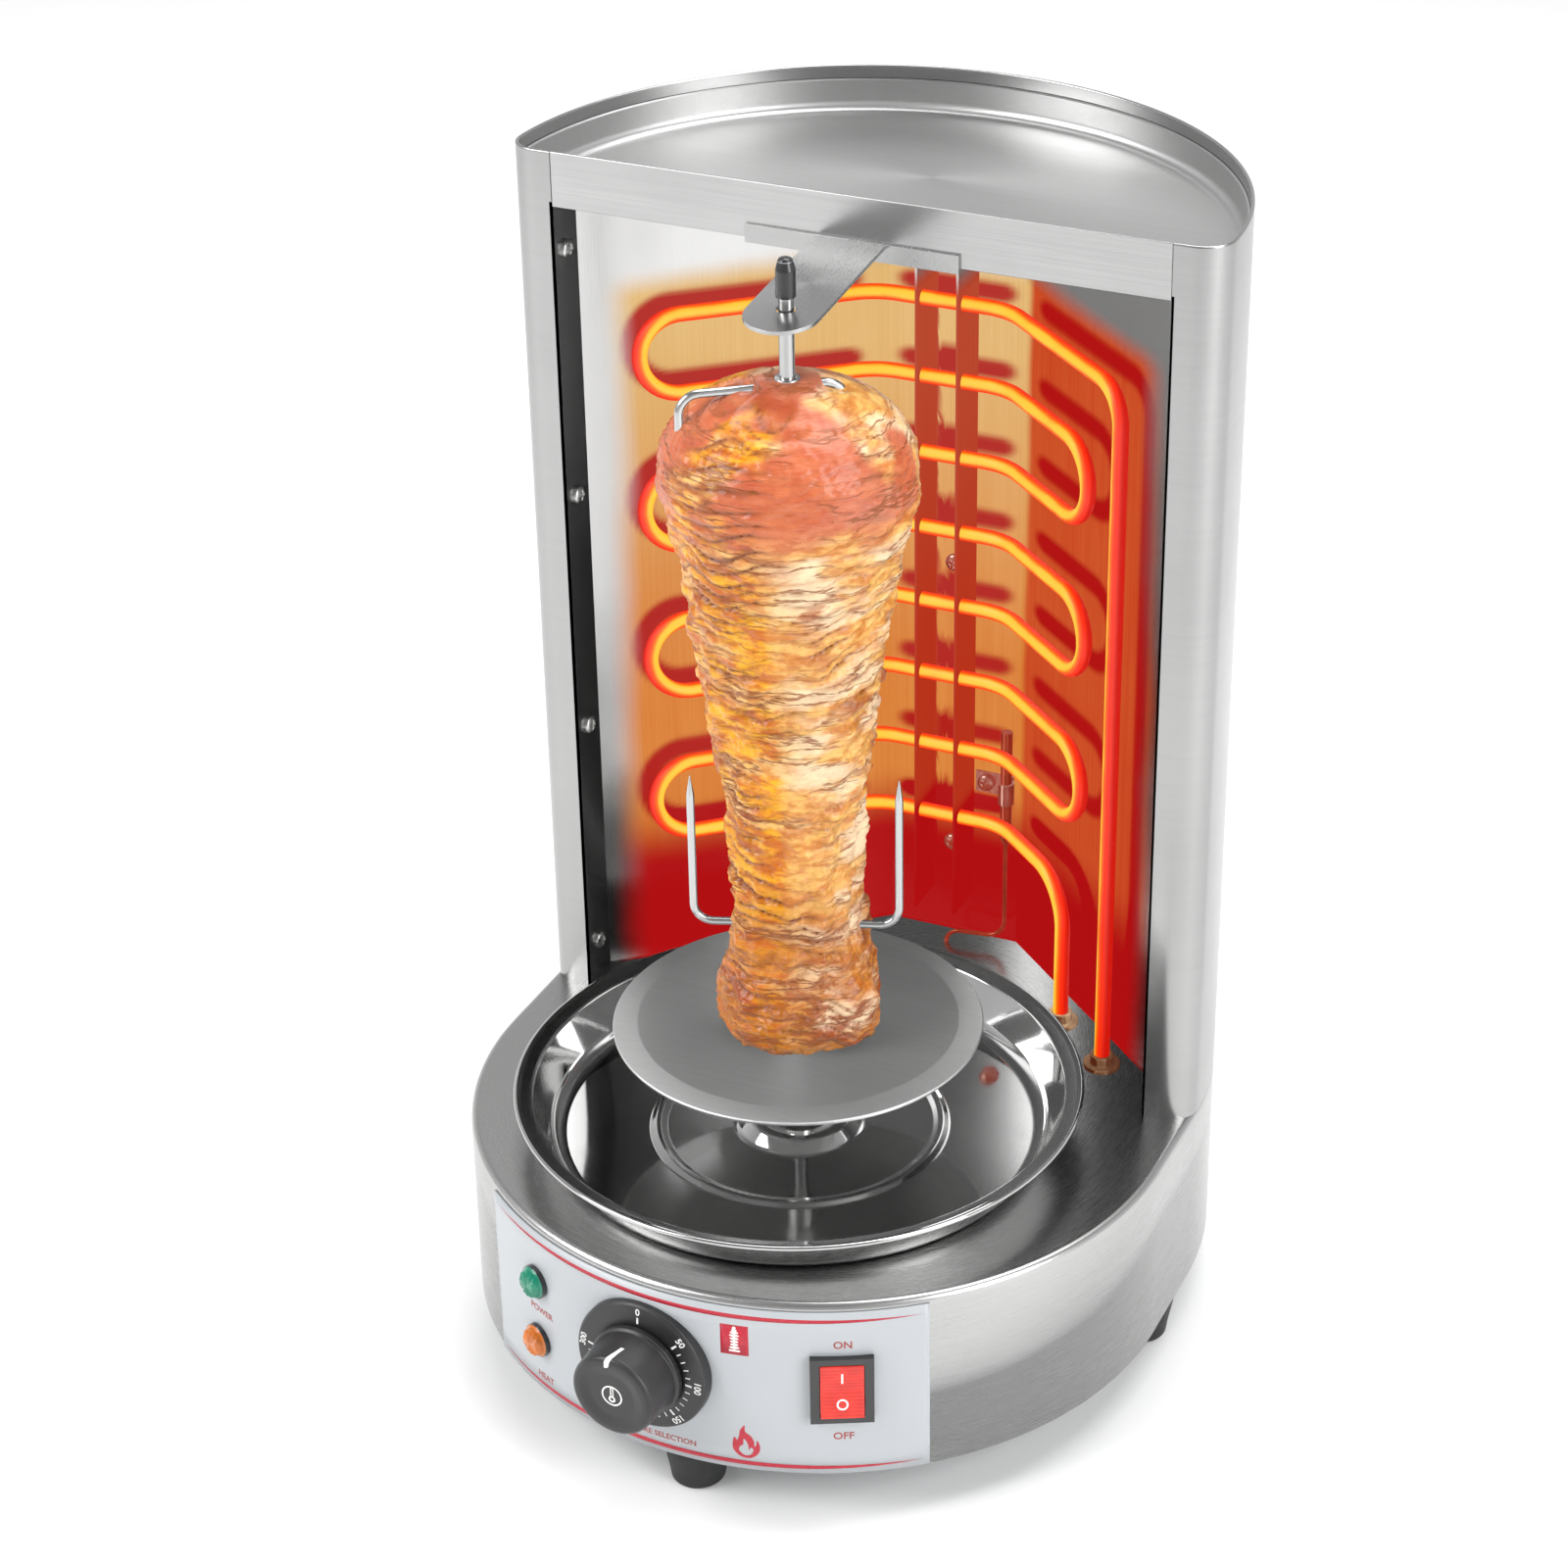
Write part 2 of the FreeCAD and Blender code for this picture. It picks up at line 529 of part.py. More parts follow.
def round_edges(body, feature, level, radius):
    """Round every flat edge at one height of a body's last feature."""
    doc.recompute()
    rounding = body.newObject("PartDesign::Fillet", f"{body.Name}_rounding")
    rounding.Base = (feature, edges_at(feature.Shape, number(level)))
    bind(rounding, Radius=radius)
    return rounding


def drum_corners(inset):
    """The base outline, drawn in by inset: two straight sides between two half circles."""
    radius = base_radius - inset
    return [
        (radius, front_arc_y),
        (radius, rear_arc_y, (0, rear_arc_y), 1),
        (-radius, rear_arc_y),
        (-radius, front_arc_y, (0, front_arc_y), 1),
    ]


def shell_corners(inset):
    """The shell outline, drawn in by inset: a flat front, two rolled corners and the arc."""
    radius = base_radius - inset
    roll = post_roll - inset
    front = post_front_y + inset
    centre_y = front + roll
    centre_x = root((radius - roll) * (radius - roll) - (centre_y - rear_arc_y) * (centre_y - rear_arc_y))
    reach = radius / (radius - roll)
    touch_x = centre_x * reach
    touch_y = rear_arc_y + (centre_y - rear_arc_y) * reach
    return [
        (-centre_x, front),
        (centre_x, front, (centre_x, centre_y), 1),
        (touch_x, touch_y, (0, rear_arc_y), 1),
        (-touch_x, touch_y, (-centre_x, centre_y), 1),
    ]


def bent_wire(spots, bends):
    """Straight runs through spots, with a tangent arc of the given radius at each corner."""
    edges = []
    start = spots[0]
    for index in range(1, len(spots) - 1):
        before = (spots[index - 1] - spots[index]).normalize()
        after = (spots[index + 1] - spots[index]).normalize()
        half = before.getAngle(after) / 2
        bend = bends[index - 1]
        back = bend / math.tan(half)
        entry = spots[index] + before * back
        leave = spots[index] + after * back
        inward = (before + after).normalize()
        middle = spots[index] + inward * (bend / math.sin(half) - bend)
        if (entry - start).Length > 1e-6:
            edges.append(Part.LineSegment(start, entry).toShape())
        edges.append(Part.Arc(entry, middle, leave).toShape())
        start = leave
    edges.append(Part.LineSegment(start, spots[-1]).toShape())
    return Part.Wire(edges)


def tube_along(wire, radius):
    """A round rod of one radius along a wire."""
    start = wire.OrderedVertexes[0].Point
    away = wire.OrderedEdges[0].tangentAt(wire.OrderedEdges[0].FirstParameter)
    if (wire.OrderedEdges[0].valueAt(wire.OrderedEdges[0].FirstParameter) - start).Length > 1e-6:
        away = -wire.OrderedEdges[0].tangentAt(wire.OrderedEdges[0].LastParameter)
    ring = Part.Wire([Part.Circle(start, away, radius).toShape()])
    return wire.makePipeShell([ring], True, True)


def made(name, shape):
    """A piece whose shape is worked out here, for rods bent in three directions."""
    thing = doc.addObject("Part::Feature", name)
    thing.Shape = shape
    return piece(thing, name)


def facing_front(name, radius, length, start, z, x=0):
    """A cylinder about a level axis, from start in front of the origin outwards along -Y."""
    return cylinder(name, radius, length, x=x, y=-start, z=z, turn=90, axis=(1, 0, 0))


def hugging(name, thing):
    """A control's base, hollowed so that it lies against the curved panel."""
    curve = cylinder(name + "_curve", panel_radius, base_height, z=foot_height)
    return cut(name, thing, curve)


def on_front(thing, turn):
    """Swing a control round the base's front arc."""
    return place(thing, y=front_arc_y, turn=turn)


def screw(name, length, **where):
    """A pan-head screw: its head stands above its own origin and its shank runs below."""
    head = cylinder(name + "_head", screw_head_radius, screw_head_height)
    shank = cylinder(name + "_shank", screw_radius, length, z=-length)
    return place(fuse(name, head, shank), **where)


def screw_hole(name, length, **where):
    """A clearance hole that runs both ways from its own origin."""
    bore = cylinder(name + "_bore", screw_radius + screw_play, length * 2, z=-length)
    return place(group(name, bore), **where)


# ------------------------------------------------------------------ base
dial_z = top_z - dial_drop
switch_z = top_z - switch_drop
lamp_levels = {"power": top_z - power_lamp_drop, "heat": top_z - heat_lamp_drop}
lamp_hole_radius = lamp_body_radius + sheet_gap
thermostat_bush_radius = knob_shaft_radius + thermostat_bush_wall
gland_z = foot_height + plate_lip + gland_radius + gland_rise
foot_spots = {
    "front": (0, front_arc_y - base_radius + foot_inset),
    "rear": (0, back_y - rear_foot_inset),
    "left": (side_foot_inset - base_radius, side_foot_y),
    "right": (base_radius - side_foot_inset, side_foot_y),
}
wing_x = post_inner_x + shell_wall + sheet_gap
wing_y = post_front_y + post_return + sheet_gap
wing_dx = wing_x - reflector_half
wing_dy = reflector_y - wing_y
wing_length = root(wing_dx * wing_dx + wing_dy * wing_dy)


def along_wing(reach, side=1):
    """The plan position of the element's axis at a distance along one wing."""
    run_y = reflector_y - element_back_gap
    bend_x = reflector_half + (element_back_gap * wing_dx - element_wing_gap * wing_length) / wing_dy
    x = bend_x + reach * wing_dx / wing_length
    y = run_y - reach * wing_dy / wing_length
    return (x * side, y)


feed_spot = along_wing(wing_length - element_feed_gap)
return_spot = along_wing(wing_length - element_return_gap)
leg_hole_radius = element_radius + collar_wall + fit_gap
capillary_spot = (capillary_x, reflector_y - capillary_gap)


def front_openings():
    """What the drum and the panel are both cut for: dial bush, switch and lamps."""
    bush = facing_front("dial_hole", thermostat_bush_radius + sheet_gap, 2 * pierce,
                        base_radius - pierce, dial_z)
    switch = block(
        "switch_hole", switch_width, 2 * pierce, switch_height,
        x=0, y=-(base_radius + pierce), z=switch_z - switch_height / 2,
    )
    lamps = [
        facing_front(f"{name}_lamp_hole", lamp_hole_radius, 2 * pierce, base_radius - pierce, level)
        for name, level in lamp_levels.items()
    ]
    return [
        on_front(group("dial_opening", bush), dial_turn),
        on_front(group("switch_opening", switch), switch_turn),
        on_front(group("lamp_openings", *lamps), lamp_turn),
    ]


def base_housing():
    """A drawn drum with a rounded top edge, open below, pierced for what passes through."""
    body = new_body("drum")
    solid = pad(body, outline(body, "XY_Plane", drum_corners(0), foot_height), base_height)
    round_edges(body, solid, top_z, base_edge)
    inside = outline(body, "XY_Plane", drum_corners(base_wall), foot_height)
    hollow = pocket_up(body, inside, base_height - base_wall)
    round_edges(body, hollow, top_z - base_wall, base_edge - base_wall)
    top_holes = {
        "bush": (bush_radius, (0, spit_y)),
        "feed": (leg_hole_radius, feed_spot),
        "return": (leg_hole_radius, return_spot),
        "capillary": (capillary_radius * 2, capillary_spot),
    }
    holes = [
        cylinder(f"{name}_hole", radius, 2 * pierce, x=spot[0], y=spot[1], z=top_z - pierce)
        for name, (radius, spot) in top_holes.items()
    ]
    holes.append(cylinder("gland_hole", gland_radius - gland_neck_inset + gland_play, 2 * pierce,
                          y=back_y - pierce, z=gland_z, turn=-90, axis=(1, 0, 0)))
    piece(cut("base_housing", body, *holes, *front_openings()), "base_housing")


def bottom_plate():
    """A tray-shaped cover inside the drum's lower edge, with slots for air."""
    body = new_body("plate")
    inset = base_wall + sheet_gap
    solid = outline(body, "XY_Plane", drum_corners(inset), foot_height)
    pad(body, solid, plate_lip)
    inside = outline(body, "XY_Plane", drum_corners(inset + plate_wall), foot_height + plate_wall)
    pocket_up(body, inside, plate_lip - plate_wall)
    holes = [
        screw_hole(f"{name}_foot_hole", pierce, x=x, y=y, z=foot_height)
        for name, (x, y) in foot_spots.items()
    ]
    vent_count = 7
    for index in range(vent_count):
        holes.append(block(f"vent_{index}", vent_width, vent_slot, 2 * pierce, x=0,
                           y=vent_first_y + vent_pitch * index, z=foot_height - pierce))
    piece(cut("bottom_plate", body, *holes), "bottom_plate")


def feet():
    """Four rubber feet, each held by a screw sunk into it."""
    seat = foot_height - foot_seat
    screws = []
    for name, (x, y) in foot_spots.items():
        foot = cone(f"{name}_foot_cone", foot_tip_radius, foot_top_radius, foot_height)
        sink = cylinder(f"{name}_foot_sink", screw_head_radius + moving_gap, seat)
        hole = screw_hole(f"{name}_foot_bore", foot_height + pierce)
        piece(place(cut(f"foot_{name}", foot, sink, hole), x=x, y=y), f"foot_{name}")
        screws.append(screw(f"{name}_foot_screw", foot_screw_length, x=x, y=y, z=seat,
                            turn=180, axis=(1, 0, 0)))
    piece(group("foot_screws", *screws), "foot_screws")


def cord_gland():
    """The moulded gland behind the base, bored for a mains lead."""
    out = {"z": gland_z, "turn": -90, "axis": (1, 0, 0)}
    flange = cylinder("gland_flange", gland_radius, gland_flange_thick + 1, y=back_y - 1, **out)
    nose = cone("gland_nose", gland_radius - 1, gland_radius - 3, gland_reach, y=back_y, **out)
    curve = cylinder("gland_curve", base_radius, base_height, y=rear_arc_y, z=foot_height)
    barrel = cylinder("gland_barrel", gland_radius - gland_neck_inset, gland_tail + gland_flange_thick,
                      y=back_y - gland_tail, **out)
    bore = cylinder("gland_through", gland_bore, gland_reach + gland_tail + 2 * pierce,
                    y=back_y - gland_tail - pierce, **out)
    outside = cut("gland_outside", fuse("gland_head", flange, nose), curve)
    piece(cut("cord_gland", fuse("gland_blank", outside, barrel), bore), "cord_gland")


def terminal_block():
    """The block where the supply is shared out, on the bottom plate."""
    low = foot_height + plate_wall
    well_low = low + terminal_height - terminal_well_depth
    body = block("terminal_bar", terminal_width, terminal_depth, terminal_height,
                 x=terminal_x, y=terminal_y, z=low)
    wells = [
        cylinder(f"terminal_well_{index}", terminal_well_radius, terminal_well_depth + pierce,
                 x=terminal_x + terminal_pitch * (index - 2), y=terminal_y + terminal_depth / 2, z=well_low)
        for index in range(5)
    ]
    piece(cut("terminal_block", body, *wells), "terminal_block")


# ------------------------------------------------------------------ controls
def control_panel():
    """A thin plate bent round the drum's front arc."""
    low = top_z - panel_drop - panel_height
    high = top_z - panel_drop
    corners = [(base_radius, low), (panel_radius, low), (panel_radius, high), (base_radius, high)]
    plate = spun("panel_sheet", corners, panel_angle)
    place(plate, y=front_arc_y, turn=panel_turn - 90 - panel_angle / 2)
    piece(cut("control_panel", plate, *front_openings_again()), "control_panel")


def front_openings_again():
    """Copies of the front openings for the panel."""
    copies = []
    for name in ("dial_opening", "switch_opening", "lamp_openings"):
        copies.append(group(f"panel_{name}", doc.getObject(name)))
    return copies


def thermostat():
    """Dial plate, knob with its shaft, and the thermostat body behind the panel."""
    bush_stand = 1.0  # the bush's end in front of the panel's face
    shaft_end_gap = 0.5  # room behind the shaft's inner end
    plate = facing_front("dial_disc", dial_radius, dial_thick + pierce, panel_radius - pierce, dial_z)
    bore = facing_front("dial_bore", knob_shaft_radius + moving_gap, dial_thick + 2 * pierce,
                        panel_radius - pierce, dial_z)
    dial = cut("dial_drilled", hugging("dial_curved", plate), bore)
    bush_sink = facing_front("dial_bush_sink", thermostat_bush_radius + sheet_gap,
                             pierce + bush_stand + 1, panel_radius - pierce, dial_z)
    piece(on_front(cut("dial_ring", dial, bush_sink), dial_turn), "dial_plate")

    knob_back = panel_radius + dial_thick + moving_gap
    profile = [
        (0, 0), (knob_radius, 0), (knob_radius, knob_skirt),
        (knob_radius - knob_skirt_step, knob_skirt + knob_skirt_step),
        (knob_tip_radius, knob_length - knob_chamfer), (knob_tip_radius - knob_chamfer, knob_length),
        (0, knob_length),
    ]
    grip = spun("knob_grip", profile)
    place(grip, y=-knob_back, z=dial_z, turn=90, axis=(1, 0, 0))
    socket = facing_front("knob_socket", knob_shaft_radius, knob_socket_depth + pierce,
                          knob_back - pierce, dial_z)
    piece(on_front(cut("knob", grip, socket), dial_turn), "thermostat_knob")

    can_front = base_radius - thermostat_gap
    shaft_start = can_front - thermostat_shaft_sink
    shaft = facing_front("shaft_rod", knob_shaft_radius, knob_back + knob_socket_depth - shaft_start,
                         shaft_start, dial_z)
    piece(on_front(group("shaft", shaft), dial_turn), "thermostat_shaft")

    can = block("thermostat_can", thermostat_width, thermostat_depth, thermostat_width,
                x=0, y=-can_front, z=dial_z - thermostat_width / 2)
    bush = facing_front("thermostat_bush", thermostat_bush_radius,
                        panel_radius + bush_stand - can_front + 1, can_front - 1, dial_z)
    shaft_bore = facing_front("thermostat_bore", knob_shaft_radius + running_fit,
                              thermostat_shaft_sink + thermostat_gap + 2 * pierce,
                              shaft_start - shaft_end_gap, dial_z)
    piece(on_front(cut("thermostat", fuse("thermostat_blank", can, bush), shaft_bore), dial_turn),
          "thermostat_body")


def rocker_switch():
    """The framed switch body and the paddle that rocks in it."""
    frame_block = block(
        "bezel_block", bezel_width, bezel_thick + rocker_sink, bezel_height,
        x=0, y=-(panel_radius + bezel_thick), z=switch_z - bezel_height / 2,
    )
    behind = block(
        "switch_block", switch_width - 2 * sheet_gap, switch_depth, switch_height - 2 * sheet_gap,
        x=0, y=-panel_radius, z=switch_z - switch_height / 2 + sheet_gap,
    )
    cavity_height = rocker_height + 2 * rocker_play
    cavity = block(
        "switch_cavity", rocker_width + moving_gap, pierce + switch_cavity_depth, cavity_height,
        x=0, y=-(panel_radius + bezel_thick + pierce), z=switch_z - cavity_height / 2,
    )
    pivot_y = -(panel_radius - rocker_sink)
    across = {"y": pivot_y, "z": switch_z, "turn": 90, "axis": (0, 1, 0)}
    bore_width = rocker_width + 2 * rocker_axle_reach + moving_gap
    axle_bore = cylinder("switch_axle_bore", rocker_axle_radius + running_fit, bore_width,
                         x=-bore_width / 2, **across)
    blank = fuse("switch_blank", hugging("bezel_curved", frame_block), behind)
    piece(on_front(cut("switch", blank, cavity, axle_bore), switch_turn), "rocker_housing")

    half = rocker_height / 2
    ends = -(rocker_crown + rocker_rise)
    body = new_body("paddle")
    corners = [
        (-rocker_crown, 0), (ends, half), (0, half), (rocker_heel, rocker_heel_half),
        (rocker_heel, -rocker_heel_half), (0, -half), (ends, -half),
    ]
    pad(body, outline(body, "YZ_Plane", corners), rocker_width, both_ways=True)
    place(body, y=pivot_y, z=switch_z, turn=-rocker_tilt, axis=(1, 0, 0))
    axle_width = rocker_width + 2 * rocker_axle_reach
    axle = cylinder("paddle_axle", rocker_axle_radius, axle_width, x=-axle_width / 2, **across)
    piece(on_front(fuse("paddle_in_place", body, axle), switch_turn), "rocker")


def indicator_lamps():
    """Two lamps: black bodies through the panel, each with a coloured lens."""
    bodies = []
    bezel_front = panel_radius + lamp_bezel_thick
    for name, level in lamp_levels.items():
        ring = facing_front(f"{name}_ring", lamp_radius, lamp_bezel_thick + 1, panel_radius - 1, level)
        barrel = facing_front(f"{name}_barrel", lamp_body_radius, lamp_depth + lamp_bezel_thick / 2,
                              panel_radius - lamp_depth, level)
        blank = fuse(f"{name}_blank", hugging(f"{name}_ring_curved", ring), barrel)
        bodies.append(blank)
        disc = facing_front(f"{name}_lens_disc", lamp_lens_radius, lamp_lens_step, bezel_front, level)
        crown = cone(f"{name}_lens_crown", lamp_lens_radius, lamp_lens_radius - 2, lamp_lens_step,
                     y=-(bezel_front + lamp_lens_step), z=level, turn=90, axis=(1, 0, 0))
        piece(on_front(fuse(f"{name}_lens", disc, crown), lamp_turn), f"{name}_lamp_lens")
    piece(on_front(group("lamp_barrels", *bodies), lamp_turn), "lamp_bodies")


# ------------------------------------------------------------------ shell and roasting bay
flange_height = shell_height - tray_depth - tray_wall - sheet_gap
post_screw_y = post_front_y + post_return / 2
post_screw_levels = [
    top_z + post_screw_low + post_screw_pitch * step for step in range(post_screw_count)
]
holder_screw_levels = (
    top_z + channel_low + holder_screw_low,
    top_z + channel_low + channel_height / 2 + holder_screw_rise,
)
clip_screw_x = bulb_x - clip_reach
clip_screw_z = top_z + bulb_low + clip_rise
bay_screw_spots = [(0, level) for level in holder_screw_levels] + [(clip_screw_x, clip_screw_z)]


def outer_shell():
    """One sheet bent round the back and rolled inwards at the front into two posts."""
    body = new_body("wrap")
    pad(body, outline(body, "XY_Plane", shell_corners(0), top_z), shell_height)
    pocket_up(body, outline(body, "XY_Plane", shell_corners(shell_wall), top_z), shell_height)
    gap = block("bay_opening", 2 * post_inner_x, shell_wall + 2, shell_height,
                x=0, y=post_front_y - 1, z=top_z)
    wrap = cut("wrap_open", body, gap)
    flanges = [
        block(f"{name}_flange", shell_wall, post_return, flange_height,
              x=side * (post_inner_x + shell_wall / 2), y=post_front_y, z=top_z)
        for name, side in (("left", -1), ("right", 1))
    ]
    holes = [
        screw_hole(f"post_hole_{step}", post_inner_x + pierce, y=post_screw_y, z=level,
                   turn=90, axis=(0, 1, 0))
        for step, level in enumerate(post_screw_levels)
    ]
    piece(cut("shell", fuse("shell_blank", wrap, *flanges), *holes), "outer_shell")


def top_tray():
    """The D-shaped dish that closes the top, sunk below the shell's rim."""
    body = new_body("tray")
    inset = shell_wall + sheet_gap
    floor_z = rim_z - tray_depth
    pad(body, outline(body, "XY_Plane", shell_corners(inset), floor_z - tray_wall),
        tray_depth + tray_wall - tray_rim_drop)
    pocket_up(body, outline(body, "XY_Plane", shell_corners(inset + tray_wall), floor_z),
              tray_depth - tray_rim_drop)
    piece(body, "top_tray")


def fascia():
    """The strip between the posts, flush with them, its lower edge turned back."""
    low = rim_z - fascia_height
    front = post_front_y
    back = front + shell_wall
    body = new_body("strip")
    corners = [
        (front, low), (front + fascia_return, low), (front + fascia_return, low + shell_wall),
        (back, low + shell_wall), (back, rim_z), (front, rim_z),
    ]
    pad(body, outline(body, "YZ_Plane", corners), 2 * (post_inner_x - sheet_gap), both_ways=True)
    piece(body, "fascia")


def reflector():
    """A sheet folded into a back panel and two wings, with tabs hooked behind the posts."""
    wing_miter = reflector_wall * (wing_length - wing_dx) / wing_dy
    tab_miter = reflector_wall * (wing_length - wing_dy) / wing_dx
    tab_front = post_front_y + tab_inset
    right = [
        (wing_x, tab_front), (wing_x + reflector_wall, tab_front),
        (wing_x + reflector_wall, wing_y + tab_miter),
        (reflector_half + wing_miter, reflector_y + reflector_wall),
    ]
    inner = [(-reflector_half, reflector_y), (reflector_half, reflector_y), (wing_x, wing_y)]
    mirrored = [(-x, y) for x, y in reversed(right)]
    corners = right + mirrored + [(-wing_x, wing_y)] + inner[:2] + [inner[2]]
    body = new_body("folded")
    height = shell_height - tray_depth - tray_wall - 2 * sheet_gap
    pad(body, outline(body, "XY_Plane", corners, top_z + sheet_gap), height - sheet_gap)
    holes = [
        screw_hole(f"tab_hole_{step}", post_inner_x + pierce, y=post_screw_y, z=level,
                   turn=90, axis=(0, 1, 0))
        for step, level in enumerate(post_screw_levels)
    ]
    for step, (x, level) in enumerate(bay_screw_spots):
        holes.append(screw_hole(f"bay_hole_{step}", pierce, x=x, y=reflector_y, z=level,
                                turn=90, axis=(1, 0, 0)))
    piece(cut("reflector_sheet", body, *holes), "reflector")


def screws():
    """Pan-head screws: eight in the posts and three in the reflector."""
    posts = []
    for step, level in enumerate(post_screw_levels):
        for name, side in (("left", -1), ("right", 1)):
            posts.append(screw(f"{name}_post_screw_{step}", sheet_screw_length, x=side * post_inner_x,
                               y=post_screw_y, z=level, turn=-90 * side, axis=(0, 1, 0)))
    piece(group("post_screw_set", *posts), "post_screws")
    bay = []
    for step, (x, level) in enumerate(bay_screw_spots):
        seat = reflector_y - sheet_gap - channel_wall
        bay.append(screw(f"bay_screw_{step}", sheet_screw_length, x=x, y=seat, z=level,
                         turn=90, axis=(1, 0, 0)))
    piece(group("bay_screw_set", *bay), "reflector_screws")


def heating_element():
    """One tubular rod: a feed leg, eight rows bent to the reflector, and a return leg."""
    left = along_wing(wing_length - element_left_gap, -1)
    right = along_wing(wing_length - element_right_gap)
    bend_left, bend_right = along_wing(0, -1), along_wing(0)
    tail_z = number(top_z - element_tail)
    levels = [number(top_z + element_top - element_pitch * row) for row in range(element_rows)]
    turn = number(element_pitch) / 2
    plan = number(element_plan_bend)

    def at(spot, level):
        return Vector(number(spot[0]), number(spot[1]), level)

    spots = [at(feed_spot, tail_z), at(feed_spot, levels[0])]
    bends = [number(element_feed_bend)]
    for row, level in enumerate(levels):
        towards_left = row % 2 == 0
        spots += [at(spot, level) for spot in
                  ((bend_right, bend_left) if towards_left else (bend_left, bend_right))]
        bends += [plan, plan]
        if row < element_rows - 1:
            end = left if towards_left else right
            spots += [at(end, level), at(end, levels[row + 1])]
            bends += [turn, turn]
    spots += [at(return_spot, levels[-1]), at(return_spot, tail_z)]
    bends.append(number(element_return_bend))
    made("heating_element", tube_along(bent_wire(spots, bends), number(element_radius)))


def element_collars():
    """Flanged collars where the two legs go through the base."""
    collars = []
    for name, (x, y) in (("feed", feed_spot), ("return", return_spot)):
        flange = cylinder(f"{name}_flange", collar_radius, collar_thick)
        barrel = cylinder(f"{name}_barrel", element_radius + collar_wall,
                          collar_barrel_top + collar_barrel_tail, z=-collar_barrel_tail)
        bore = cylinder(f"{name}_bore", element_radius + element_play,
                        collar_barrel_top + collar_barrel_tail + 2 * pierce, z=-collar_barrel_tail - pierce)
        collars.append(place(cut(f"{name}_collar", fuse(f"{name}_blank", flange, barrel), bore),
                             x=x, y=y, z=top_z))
    piece(group("collars", *collars), "element_collars")


def element_holder():
    """A channel on the back panel; the rows pass through holes in its two flanges."""
    back = reflector_y - sheet_gap
    front = back - channel_depth
    half = channel_width / 2
    inside = half - channel_wall
    body = new_body("channel")
    corners = [
        (-half, front), (-inside, front), (-inside, back - channel_wall), (inside, back - channel_wall),
        (inside, front), (half, front), (half, back), (-half, back),
    ]
    pad(body, outline(body, "XY_Plane", corners, top_z + channel_low), channel_height)
    row_holes = [
        cylinder(f"row_hole_{row}", element_radius + row_hole_play, channel_width + 2 * pierce,
                 x=-half - pierce, y=reflector_y - element_back_gap,
                 z=top_z + element_top - element_pitch * row, turn=90, axis=(0, 1, 0))
        for row in range(element_rows)
    ]
    holes = [
        screw_hole(f"holder_hole_{step}", pierce, y=reflector_y, z=level, turn=90, axis=(1, 0, 0))
        for step, level in enumerate(holder_screw_levels)
    ]
    piece(cut("holder", body, *row_holes, *holes), "element_holder")


def sensing_bulb():
    """The thermostat's bulb, its clip on the back panel and its capillary tube."""
    bulb_y = reflector_y - bulb_gap
    low = top_z + bulb_low
    tube = cylinder("bulb_tube", bulb_radius, bulb_length)
    tip = cone("bulb_tip", capillary_radius, bulb_radius, bulb_tip, z=-bulb_tip)
    piece(place(fuse("bulb", tube, tip), x=bulb_x, y=bulb_y, z=low), "sensing_bulb")

    clip_low = clip_screw_z - clip_width / 2
    strap_y = reflector_y - sheet_gap - clip_wall
    strap_end = bulb_x + clip_neck_width / 2
    strap_width = strap_end - clip_screw_x + clip_width / 2
    ring = cylinder("clip_ring", bulb_radius + clip_wall, clip_width, x=bulb_x, y=bulb_y, z=clip_low)
    neck = block("clip_neck", clip_neck_width, strap_y + clip_wall - bulb_y, clip_width,
                 x=bulb_x, y=bulb_y, z=clip_low)
    strap = block("clip_strap", strap_width, clip_wall, clip_width,
                  x=strap_end - strap_width / 2, y=strap_y, z=clip_low)
    bore = cylinder("clip_bore", bulb_radius, clip_width + 2, x=bulb_x, y=bulb_y, z=clip_low - 1)
    hole = screw_hole("clip_hole", pierce, x=clip_screw_x, y=reflector_y, z=clip_screw_z,
                      turn=90, axis=(1, 0, 0))
    piece(cut("clip", fuse("clip_blank", ring, neck, strap), bore, hole), "bulb_clip")

    capillary_tube(bulb_y)


def capillary_tube(bulb_y):
    """The thin tube from the bulb, through the base top and round to the thermostat."""
    x, y = number(bulb_x), number(bulb_y)
    hole_x, hole_y = number(capillary_spot[0]), number(capillary_spot[1])
    top = number(top_z)
    above = top + 6  # the run over the base top
    side_x = -number(bracket_width) / 2 - number(bracket_ear) - 12  # beside the motor bracket
    turn = math.radians(number(dial_turn))
    can_back = number(base_radius - thermostat_gap - thermostat_depth)
    aside = number(thermostat_width) * 0.3
    end_x = math.sin(turn) * can_back - math.cos(turn) * aside
    end_y = number(front_arc_y) - math.cos(turn) * can_back - math.sin(turn) * aside
    spots = [
        Vector(x, y, top + number(bulb_low - bulb_tip)), Vector(x, y, above), Vector(hole_x, hole_y, above),
        Vector(hole_x, hole_y, top - 14), Vector(side_x, 70, top - 14), Vector(side_x, -60, top - 22),
        Vector(end_x, end_y + 30, top - 30), Vector(end_x, end_y + number(sheet_gap), top - 30),
    ]
    bends = [8, 6, 8, 20, 20, 20]
    made("capillary_tube", tube_along(bent_wire(spots, bends), number(capillary_radius)))


